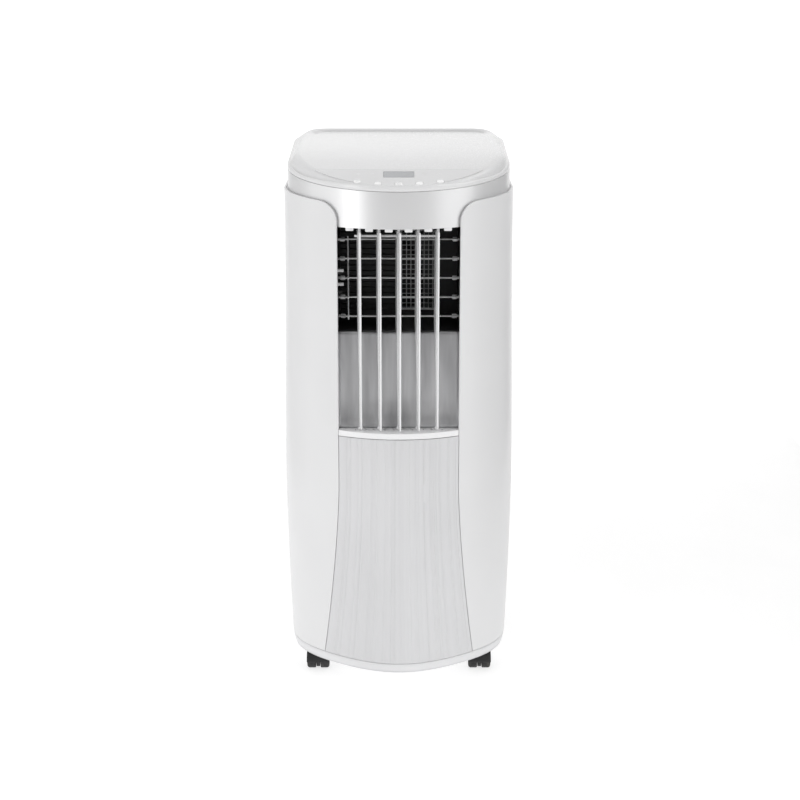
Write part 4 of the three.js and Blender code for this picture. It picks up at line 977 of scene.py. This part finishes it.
def lip(y):
    """Rise of the low lip along the lid's rear edge."""
    share = clamp((y - LIP_START_Y) / (LIP_FULL_Y - LIP_START_Y))
    return LIP_RISE * share ** 2 * (3 - 2 * share)


def crown(y, share):
    """A height between the bead's top and the lid's top."""
    foot = seam_height(y) + bead_height(y)
    return foot + (max(top_height(y) + lip(y), foot) - foot) * share


def bead_fade(y):
    """How far the bead has merged into the lid's wall: not at all in front, wholly along the sides and rear."""
    return clamp((y - BEAD_FADE_Y) / BEAD_FADE_LENGTH)


def bead_ring(inset, rise, lean, lift):
    def height(y):
        foot = seam_height(y) + LID_CLEAR
        return foot + (bead_height(y) - LID_CLEAR) * rise + bead_fade(y) * (crown(y, lift) - crown(y, 0))

    return lid_ring(inset, height, lean)


def wall_ring(inset, share, lean, taper, drop=0):
    def height(y):
        faded = bead_fade(y)
        return crown(y, share + faded * 0.27 * (1 - share) ** 2) + drop * (1 - faded)

    return lid_ring(inset, height, lean, taper)


LID_HUB_Y = -20
LID_SHRINK = 22


def closing(ring, sink):
    """Ever smaller rings towards the middle of the lid's top."""
    rings = []
    for i in range(1, LID_SHRINK):
        share = 1 - i / LID_SHRINK
        points = [(x * share, LID_HUB_Y + (y - LID_HUB_Y) * share) for x, y, _ in ring]
        rings.append([(x, y, top_height(y) - sink) for x, y in points])
    return rings


def top_cover():
    bead = [(6.4, 0.0, 0.0, 0), (6.0, 0.08, 0.0, 0), (6.0, 0.55, 0.0, 0.03), (6.25, 0.75, 0.0, 0.07),
            (6.8, 0.9, 0.0, 0.12), (7.6, 0.98, 0.2, 0.18), (8.4, 1.0, 0.6, 0.235)]
    walls = [(8.9, 0.0, 1.5, 0.0, -1.2), (9.0, 0.05, 2.2, 0.3), (9.1, 0.21, 3.5, 1.2), (9.2, 0.40, 4.3, 2.2),
             (9.4, 0.58, 5.6, 3.4), (9.8, 0.74, 7.3, 4.6), (10.4, 0.88, 9.2, 5.5), (11.4, 0.965, 11.6, 6)]
    lips = [(12.2, 1, 13.6), (12.8, 1, 14.4), (17.0, 0.12, 15.8), (17.3, -0.28, 16), (18.3, -0.28, 16.2),
            (18.6, 0, 16.4)]
    outer = [bead_ring(*values) for values in bead] + [wall_ring(*values) for values in walls]
    for inset, share, lean in lips:
        outer.append(lid_ring(inset, lambda y, k=share: top_height(y) + lip(y) * k, lean, 6))
    inner = [lid_ring(NECK_INSET + WALL, lambda y: seam_height(y) + LID_CLEAR)]
    for inset, share, lean, taper in ((9.0, 0.05, 2.2, 0.3), (9.2, 0.40, 4.3, 2.2), (10.4, 0.88, 8.2, 5.5)):
        inner.append(lid_ring(inset + WALL, lambda y, k=share: crown(y, k) - WALL, lean, taper))
    inner.append(lid_ring(22, lambda y: top_height(y) - WALL, 17, 6))
    rings = [*inner, *closing(inner[-1], WALL)][::-1]
    lid = stack("lid", [*rings, *outer, *closing(outer[-1], 0)])
    carve(lid, prism("cut", control_outline(0, 0), -1.5, 30, CONTROL_PLACE), *button_cuts(0.7, 9))
    finish(soften(lid, 0.35, 2, 50), LID_WHITE, nodes=["top_cover"])


def control_outline(inset, rear_inset, steps=64):
    """The control panel's outline in its own tilted plane: a shallow arc closed by a straight rear edge."""
    a, b = CONTROL_HALF - inset, CONTROL_REACH - inset
    chord_y = CONTROL_EDGE_Y + CONTROL_DEPTH - 0.5 - rear_inset
    edge = a * math.sqrt(1 - ((chord_y - CENTRE_Y) / b) ** 2)
    points = []
    for i in range(steps + 1):
        x = -edge + 2 * edge * i / steps
        y = CENTRE_Y - b * math.sqrt(1 - (x / a) ** 2)
        points.append((x, (y - CONTROL_EDGE_Y) / math.cos(CONTROL_TILT)))
    return points


BUTTONS = 5
BUTTON_PITCH = 31.5
BUTTON_RADIUS = 6
BUTTON_SETBACK = 17.5


def button_places():
    across = [(i - (BUTTONS - 1) / 2) * BUTTON_PITCH for i in range(BUTTONS)]
    return [(x, (front_at(x) + BUTTON_SETBACK - CONTROL_EDGE_Y) / math.cos(CONTROL_TILT)) for x in across]


def control_disc(name, x, y, profile):
    obj = lathe(name, profile, (x, y, 0), "Z", 40)
    for vertex in obj.data.vertices:
        vertex.co = (CONTROL_PLACE @ (vertex.co / MM)) * MM
    return obj


def button_cuts(clearance, reach):
    """Cutters for the buttons' holes, reach above and below the control plane."""
    radius = BUTTON_RADIUS + clearance
    return [control_disc("cut", x, y, [(radius, -reach), (radius, reach)]) for x, y in button_places()]


DISPLAY = (-23.5, 23.5, 37, 60.5)  # left, right, front and rear edge in the control panel's plane


def control_panel():
    plate = prism("control_plate", control_outline(0.8, 0.1), -1.3, -0.05, CONTROL_PLACE)
    x0, x1, y0, y1 = DISPLAY
    hole = prism("cut", rounded(x0 - 0.3, x1 + 0.3, y0 - 0.3, y1 + 0.3, 2.2), -5, 5, CONTROL_PLACE)
    carve(plate, hole, *button_cuts(0.35, 5))
    finish(soften(plate, 0.25, 2, 50), CONTROL, nodes=["control_panel"])
    window = prism("display_pane", rounded(*DISPLAY, 2), -1.2, 0, CONTROL_PLACE)
    finish(soften(window, 0.25, 2, 50), DISPLAY_GLASS, nodes=["display_window"])


def flat_print(name, outlines, lift=-0.1, thickness=0.06):
    return join(name, [prism(name, outline, lift, lift + thickness, CONTROL_PLACE) for outline in outlines])


def stroke(x0, y0, x1, y1, width=0.5):
    """A thin bar between two points as an anticlockwise outline."""
    along = Vector((x1 - x0, y1 - y0)).normalized() * width / 2
    across = Vector((-along.y, along.x))
    start, end = Vector((x0, y0)) - along, Vector((x1, y1)) + along
    return [tuple(corner) for corner in (start - across, end - across, end + across, start + across)]


def ring_strokes(x, y, radius, start=0, sweep=360, steps=20):
    points = arc(x, y, radius, start, sweep, steps)
    return [stroke(*a, *b) for a, b in zip(points, points[1:])]


def control_prints():
    """Generic pictograms: snowflake, drop, fan and clock beside the display, and one mark over each button."""
    y = 50
    snow_x, drop_x, fan_x, clock_x = -62, -40, 40, 62
    marks = [stroke(*a, *b) for a, b in zip(arc(snow_x, y, 4, 180, 120, 2), arc(snow_x, y, 4, 0, 120, 2))]
    marks += ring_strokes(drop_x, y - 1, 2.6, -215, 250)
    marks += [stroke(drop_x + dx, y + 0.4, drop_x, y + 4.4) for dx in (-2.1, 2.1)]
    for blade_x, blade_y in arc(fan_x, y, 2, 90, 240, 2):
        marks += ring_strokes(blade_x, blade_y, 1.7)
    marks += ring_strokes(clock_x, y, 3.8)
    marks += [stroke(clock_x, y, clock_x, y + 2.6), stroke(clock_x, y, clock_x + 2, y)]
    marks += [stroke(bx - 4.5, by + 10.5, bx + 4.5, by + 10.5, 0.7) for bx, by in button_places()]
    finish(flat_print("control_marks", marks), PRINT)


def button_sign(i, x, y):
    """The mark on a button's cap: ring, minus, power, plus and caret, from left to right."""
    minus = stroke(x - 1.8, y, x + 1.8, y)
    return [
        ring_strokes(x, y, 1.9),
        [minus],
        [*ring_strokes(x, y, 2.2, 120, 300), stroke(x, y + 0.4, x, y + 3)],
        [minus, stroke(x, y - 1.8, x, y + 1.8)],
        [stroke(x - 1.6, y - 1.4, x, y + 1.6), stroke(x, y + 1.6, x + 1.6, y - 1.4)],
    ][i]


def buttons():
    r = BUTTON_RADIUS - 0.05
    profile = [(r, -4.5), (r, -0.3), (r - 0.15, 0.05), (r - 0.5, 0.3), (r - 1.3, 0.42), (r - 3, 0.48),
               (0.4, 0.5)]
    for i, (x, y) in enumerate(button_places()):
        node = f"button_{i + 1}"
        cap = control_disc(f"button_cap_{i + 1}", x, y, profile)
        finish(cap, BUTTON_WHITE, node, [node])
        mark = flat_print(f"button_mark_{i + 1}", button_sign(i, x, y), 0.44, 0.05)
        finish(mark, DARK_PRINT, node)


# ---------- base and casters ----------
CORNERS = ("front_left", "front_right", "rear_left", "rear_right")
CASTERS = {name: pivot_of(f"caster_{name}_swivel") for name in CORNERS}
CASTER_TRAIL = 8
CASTER_HALF = 19
WHEEL_RADIUS = 14
HOOD_RADIUS = 16.6
STEM_HOLE = 5.8


def base_tray():
    """Walls from the foot up to the rim, and an underside within them, joined along the foot."""
    floor_z = BASE_TOP_Z - 3
    foot = [(0, 6.5), (0, 3.6), (0.6, 2.6), (1.6, 2.3), (2, 3), (2.6, 3), (3, 1.9), (6, 1.3), (10, 0.6)]
    outside = [casing_ring(BASE_BOTTOM_Z + rise, inset) for rise, inset in foot]
    outside += [casing_ring(BASE_TOP_Z - drop, inset) for drop, inset in ((0.8, 0), (0, 0.7), (0, 12), (0, 60))]
    under = [[(x, y, floor_z) for x, y, _ in casing_ring(BASE_TOP_Z, inset)] for inset in (60, 12, 6.5)]
    upper, lower = stack("upper", outside), stack("lower", [*under, outside[0]])
    remove_faces(upper, [0])
    remove_faces(lower, [len(lower.data.polygons) - 1])
    tray = weld(join("tray", [upper, lower]))
    stems = [(x, y, 0) for x, y, _ in CASTERS.values()]
    cutters = [rod("cut", STEM_HOLE, 20, 80, stem, "Z", 32) for stem in stems]
    for x in (-90, -45, 0, 45, 90):
        for y in (-60, 0, 60, 110):
            cutters.append(prism("cut", rounded(x - 14, x + 14, y - 2.2, y + 2.2, 2.1, 4), 40, 44.9))
    carve(tray, *cutters)
    boss = [(STEM_HOLE, 37.2), (11, 37.2), (11, 44.5), (STEM_HOLE, 44.5)]
    parts = [soften(tray, 0.3, 2, 50), *[ring_lathe("boss", boss, stem, "Z", 32) for stem in stems]]
    finish(join("base_tray_shell", parts), LIGHT, nodes=["base_tray"])


def caster(name):
    """A twin-wheel caster: fender, web, swivel and stem on one body, both wheels on the other."""
    x, y, _ = CASTERS[name]
    axle = (y - CASTER_TRAIL, WHEEL_RADIUS)
    fender = arc(*axle, HOOD_RADIUS, 176, -172, 20) + arc(*axle, WHEEL_RADIUS + 0.9, 4, 172, 20)
    web = arc(*axle, 15.6, 180, -180, 20) + arc(*axle, 12, 0, -180, 20)
    swivel = [(9, 29.7), (11.2, 29.9), (12, 30.8), (12, 35.4), (11.2, 36.3), (7, 36.5)]
    parts = [
        soften(prism("fender", fender[::-1], x - CASTER_HALF, x + CASTER_HALF, ALONG_X), 0.75, 3, 50),
        soften(prism("web", web[::-1], x - 2.9, x + 2.9, ALONG_X), 0.6, 2, 50),
        lathe("swivel", swivel, (x, y, 0), "Z", 40),
        lathe("stem", [(5, 34), (5, 48), (4.3, 49)], (x, y, 0), "Z", 24),
    ]
    hood = join("caster_frame_" + name, parts)
    finish(hood, BLACK, "caster_swivel_" + name, ["caster_hood_" + name])
    wheel = [(5, 4.2), (10.2, 4.2), (11.0, 4.0), (12.8, 4.0), (13.7, 4.4), (14, 5.2), (14, 14.6), (13.8, 15.7),
             (13.2, 16.8), (12.2, 17.8), (10.9, 18.4), (9.6, 18.6), (9.2, 18.2), (8.8, 17.4), (5.6, 17.2),
             (4.6, 18.6), (2.4, 19.0)]
    parts = [lathe("wheel", [(r, x + side * h) for r, h in wheel][::side], (0, *axle), "X") for side in (-1, 1)]
    parts.append(rod("axle", 2.5, x - 6, x + 6, (0, *axle), "X", 20))
    wheels = join("caster_wheel_pair_" + name, parts)
    finish(wheels, TYRE, "caster_roll_" + name, ["caster_wheels_" + name])


# ---------- rear ----------
def rear_upstand():
    """The ledge over the rear panel and the wall that stands on it under the lid."""
    front_y = BAND_REAR_Y + 0.4
    half = LID_HALF - NECK_INSET
    bottom = SIDE_TOP_Z - 1
    levels = 10

    def top(y):
        return seam_height(y) - SEAM_CLEAR

    round_rear = [(x, y) for x, y, _ in lid_ring(NECK_INSET, top) if y >= front_y]
    path = [(half, front_y), *round_rear, (-half, front_y)]
    rows = [[(x, y, bottom + (top(y) - bottom) * r / levels) for x, y in path] for r in range(levels + 1)]
    wall = thicken(sheet("rear_upstand", rows), WALL)
    finish(soften(wall, 0.7), PEARL)
    outside = [(x * (1 - 1.5 / 185), y - 1.5 * clamp((y - 150) / 30)) for x, y in rear_columns(SIDE_TOP_Z)]
    within = [(x * 0.985, y - 2.0) for x, y in path[::-1]]
    finish(prism("rear_ledge", [*outside, *within], bottom - 3, bottom - 0.4), WHITE)


def intake_grille(node, name, body):
    """A framed grille with sloping slats, and a net behind it."""
    lo, hi = span(node)
    (x0, y0, z0), (x1, y1, z1) = lo, hi
    y1 -= 3
    rim = upright("rim", x0, x1, z0, z1, 7, y0, y1)
    carve(rim, upright("cut", x0 + 8, x1 - 8, z0 + 8, z1 - 8, 4, y0 - 5, y1 + 5))
    parts = [soften(rim, 0.9, 3, 50)]
    pitch = 7.8
    for z in series(z0 + 8 + pitch / 2, z1 - 9, pitch):
        section = [(y0 + 1.2, z - 0.2), (y1 - 0.9, z - 2.2), (y1 - 0.2, z - 1.9), (y1 - 0.1, z - 1.2),
                   (y1 - 0.6, z - 0.6), (y0 + 1.4, z + 1.2)]
        parts.append(prism("slat", section, x0 + 6, x1 - 6, ALONG_X))
    for share in (0.2, 0.4, 0.6, 0.8):
        x = x0 + (x1 - x0) * share
        parts.append(prism("post", rounded(x - 1.3, x + 1.3, y0 + 0.6, y1 - 1.4, 0.6, 3), z0 + 6, z1 - 6))
    parts.append(soften(upright("clasp", -14, 14, z1 - 7.2, z1 - 2.8, 2, y1 - 2, hi[1], 5), 0.9, 3, 50))
    finish(join(name, parts), WHITE, body, [node])
    thread, step = 0.25, 3.4
    threads = [prism("thread", rounded(x - thread, x + thread, y0 + 0.2, y0 + 0.7, 0.2, 2), z0 + 7, z1 - 7)
               for x in series(x0 + 9, x1 - 9, step)]
    for z in series(z0 + 9, z1 - 9, step):
        outline = rounded(y0 + 0.3, y0 + 0.8, z - thread, z + thread, 0.2, 2)
        threads.append(prism("thread", outline, x0 + 7, x1 - 7, ALONG_X))
    finish(join(name + "_net", threads), NET, body)


def exhaust_collar():
    """The round hose neck with its flange, ribs and guard bars."""
    node = "exhaust_collar"
    x, _, z = middle(node)
    lo, hi = span(node)
    r = (hi[0] - lo[0]) / 2 - 14
    front, rear = lo[1], hi[1]
    flange = [(3, 0.4), (13.2, 0.4), (14, 1.2), (13.6, 2.6), (12.6, 3), (4.4, 3.1), (3.2, 4.4)]
    mouth = [(3, 4.2), (4.2, 3.2), (8.4, 3), (9, 2.2), (9, 0.8), (8.2, 0), (1, 0), (0, 0.8)]
    profile = [(r, front), (r + 3, front), *[(r + out, REAR_Y + back) for out, back in flange],
               *[(r + out, rear - short) for out, short in mouth]]
    parts = [ring_lathe("collar", profile, (x, 0, z), "Y", 96)]
    ribs = 24
    rib = rounded(r + 2.6, r + 5.2, -1, 1, 0.7, 3)
    for i in range(ribs):
        place = Matrix.Translation((x, 0, z)) @ Matrix.Rotation(2 * math.pi * i / ribs, 4, "Y")
        parts.append(prism("rib", rib, REAR_Y + 3.6, REAR_Y + 15.1, place @ ALONG_Y))
    finish(join("exhaust_neck", parts), WHITE, nodes=[node])
    bars = []
    bar_pitch = 18
    for i in range(-3, 4):
        step = i * bar_pitch
        half = math.sqrt((r + 0.5) ** 2 - step ** 2)
        y = front + 4
        bars.append(tube("bar", [(x - half, y, z + step), (x + half, y, z + step)], 1.2, 10))
        y = front + 2.4
        bars.append(tube("bar", [(x + step, y, z - half), (x + step, y, z + half)], 1.2, 10))
    finish(join("exhaust_guard", bars), WHITE)


def drain_plugs():
    for node in DRAINS:
        x, _, z = middle(node)
        y0, y = low(node)[1], high(node)[1]
        profile = [(4.6, y0), (5.5, y0 + 1.2), (5.5, y - 7.6), (10.2, y - 7.6), (10.5, y - 7), (10.5, y - 1.4),
                   (10, y - 0.5), (9, y - 0.1), (6, y), (2, y - 0.3)]
        parts = [lathe("plug", profile, (x, 0, z), "Y")]
        for ridge_x, ridge_z in arc(x, z, 10.1, 0, 360, 18)[:-1]:
            parts.append(tube("ridge", [(ridge_x, y - 6.8, ridge_z), (ridge_x, y - 1.5, ridge_z)], 0.55, 8))
        finish(join(node + "_cap", parts), RUBBER, node, [node])


def cord_fittings():
    node = "cord_wrap_bracket"
    lo, hi = span(node)
    x, _, z = middle(node)
    plate = upright("plate", lo[0], hi[0], z - 45, z + 45, 5, lo[1], lo[1] + 3.4)
    parts = [soften(plate, 0.9, 3, 50)]
    y0, y1 = lo[1] + 2.6, hi[1]
    hook = [(y0, -3), (y1 - 3, -3), (y1 - 0.8, -2), (y1, 0.6), (y1, 14.6), (y1 - 1.6, 16), (y1 - 3.4, 14.6),
            (y1 - 3.6, 4.6), (y1 - 5.4, 3), (y0, 3)]
    for side in (-1, 1):
        outline = [(u, z + side * (36 + v)) for u, v in hook][::side]
        parts.append(soften(prism("hook", outline, x - 8, x + 8, ALONG_X), 0.8, 3, 40))
    finish(join("cord_hooks", parts), WHITE, nodes=[node])
    node = "cord_gland"
    x, _, z = middle(node)
    y0, y1 = low(node)[1], high(node)[1]
    bore = 4.2
    flange = [(8, 0.4), (11.2, 0.4), (11.5, 1), (11.1, 2), (9, 3.2)]
    profile = [(bore, REAR_Y - 2), (bore, y0), (8, y0), *[(radius, REAR_Y + back) for radius, back in flange],
               (6.4, y1 - 0.7), (5.4, y1), (bore, y1)]
    finish(ring_lathe("gland", profile, (x, 0, z), "Y"), RUBBER, nodes=[node])


def screws():
    """Cross-head screws that hold the rear panel."""
    heads = []
    for x in (-160, 160):
        for z in (90, 300, 450, 620, 770):
            profile = [(3.6, 0.05), (3.8, 0.4), (3.4, 1.1), (2.4, 1.5), (0.3, 1.6)]
            head = lathe("head", profile, (x, REAR_Y, z), "Y", 28)
            for u, v in ((2.2, 0.45), (0.45, 2.2)):
                slot = [(z - v, x - u), (z + v, x - u), (z + v, x + u), (z - v, x + u)]
                carve(head, prism("cut", slot, REAR_Y + 0.8, REAR_Y + 3, ALONG_Y))
            heads.append(head)
    finish(join("rear_screws", heads), STEEL)


# ---------- inside ----------
def coil(node, name):
    """A finned coil: thin upright fins on hairpin tubes."""
    (_, y0, z0), (_, y1, z1) = span(node)
    half, pitch, fin = 134, 2.6, 0.25
    points, faces = [], []
    for i in range(int(2 * half / pitch) + 1):
        x = -half + pitch * i
        a = len(points)
        points += [(x + dx, y, z) for dx in (-fin, fin) for y, z in ((y0, z0), (y1, z0), (y1, z1), (y0, z1))]
        faces += [(a, a + 3, a + 2, a + 1), (a + 4, a + 5, a + 6, a + 7)]
        faces += [(a + j, a + (j + 1) % 4, a + 4 + (j + 1) % 4, a + 4 + j) for j in range(4)]
    fins = make(name + "_fins", points, faces)
    fins.data.shade_flat()
    finish(fins, ALUMINIUM, nodes=[node])
    tubes = []
    runs, tube_radius, tube_y = 10, 3.6, 152
    step = (z1 - z0) / runs
    for i in range(runs):
        z = z0 + step * (i + 0.5)
        tubes.append(tube("run", [(-half - 3, tube_y, z), (half + 3, tube_y, z)], tube_radius, 12))
        if i < runs - 1:
            side = 1 if i % 2 else -1
            bend = arc(side * (half + 2), z + step / 2, step / 2, -90, 180 * side, 10)
            tubes.append(tube("bend", [(x, tube_y, h) for x, h in bend], tube_radius, 12))
    finish(join(name + "_tubes", tubes), COPPER)


def inside():
    """Paints the inner CAD nodes that keep their own shape."""
    looks = [
        (BLACK, ("outlet_duct", "evaporator_wheel", "condenser_wheel")),
        (GREY, ("evaporator_scroll", "condenser_scroll", "drain_deck", "electrical_box")),
        (ZINC, ("louver_motor", "evaporator_motor", "condenser_motor")),
        (COPPER, ("suction_pipe", "discharge_pipe")),
        (ENAMEL, ("compressor",)),
        (BOARD, ("control_board",)),
    ]
    for material, nodes in looks:
        for node in nodes:
            for place in frame["nodes"][node].material_slots:
                place.material = material


studio()
side_panel(-1, "left_shell", "side_panel_left")
side_panel(1, "right_shell", "side_panel_right")
lower_front_panel()
upper_front_band()
neck_ledges()
vane_ledge()
deflector()
duct_details()
outlet_guard()
for index in range(len(VANES)):
    vane(index)
vane_link_bar()
for index in range(len(LOUVERS)):
    louver(index)
louver_rod()
top_cover()
control_panel()
control_prints()
buttons()
base_tray()
for caster_name in CASTERS:
    caster(caster_name)
rear_panel()
rear_upstand()
intake_grille("upper_filter_grille", "upper_intake", "upper_filter")
intake_grille("lower_filter_grille", "lower_intake", "lower_filter")
exhaust_collar()
drain_plugs()
cord_fittings()
screws()
coil("evaporator", "evaporator_coil")
coil("condenser", "condenser_coil")
inside()
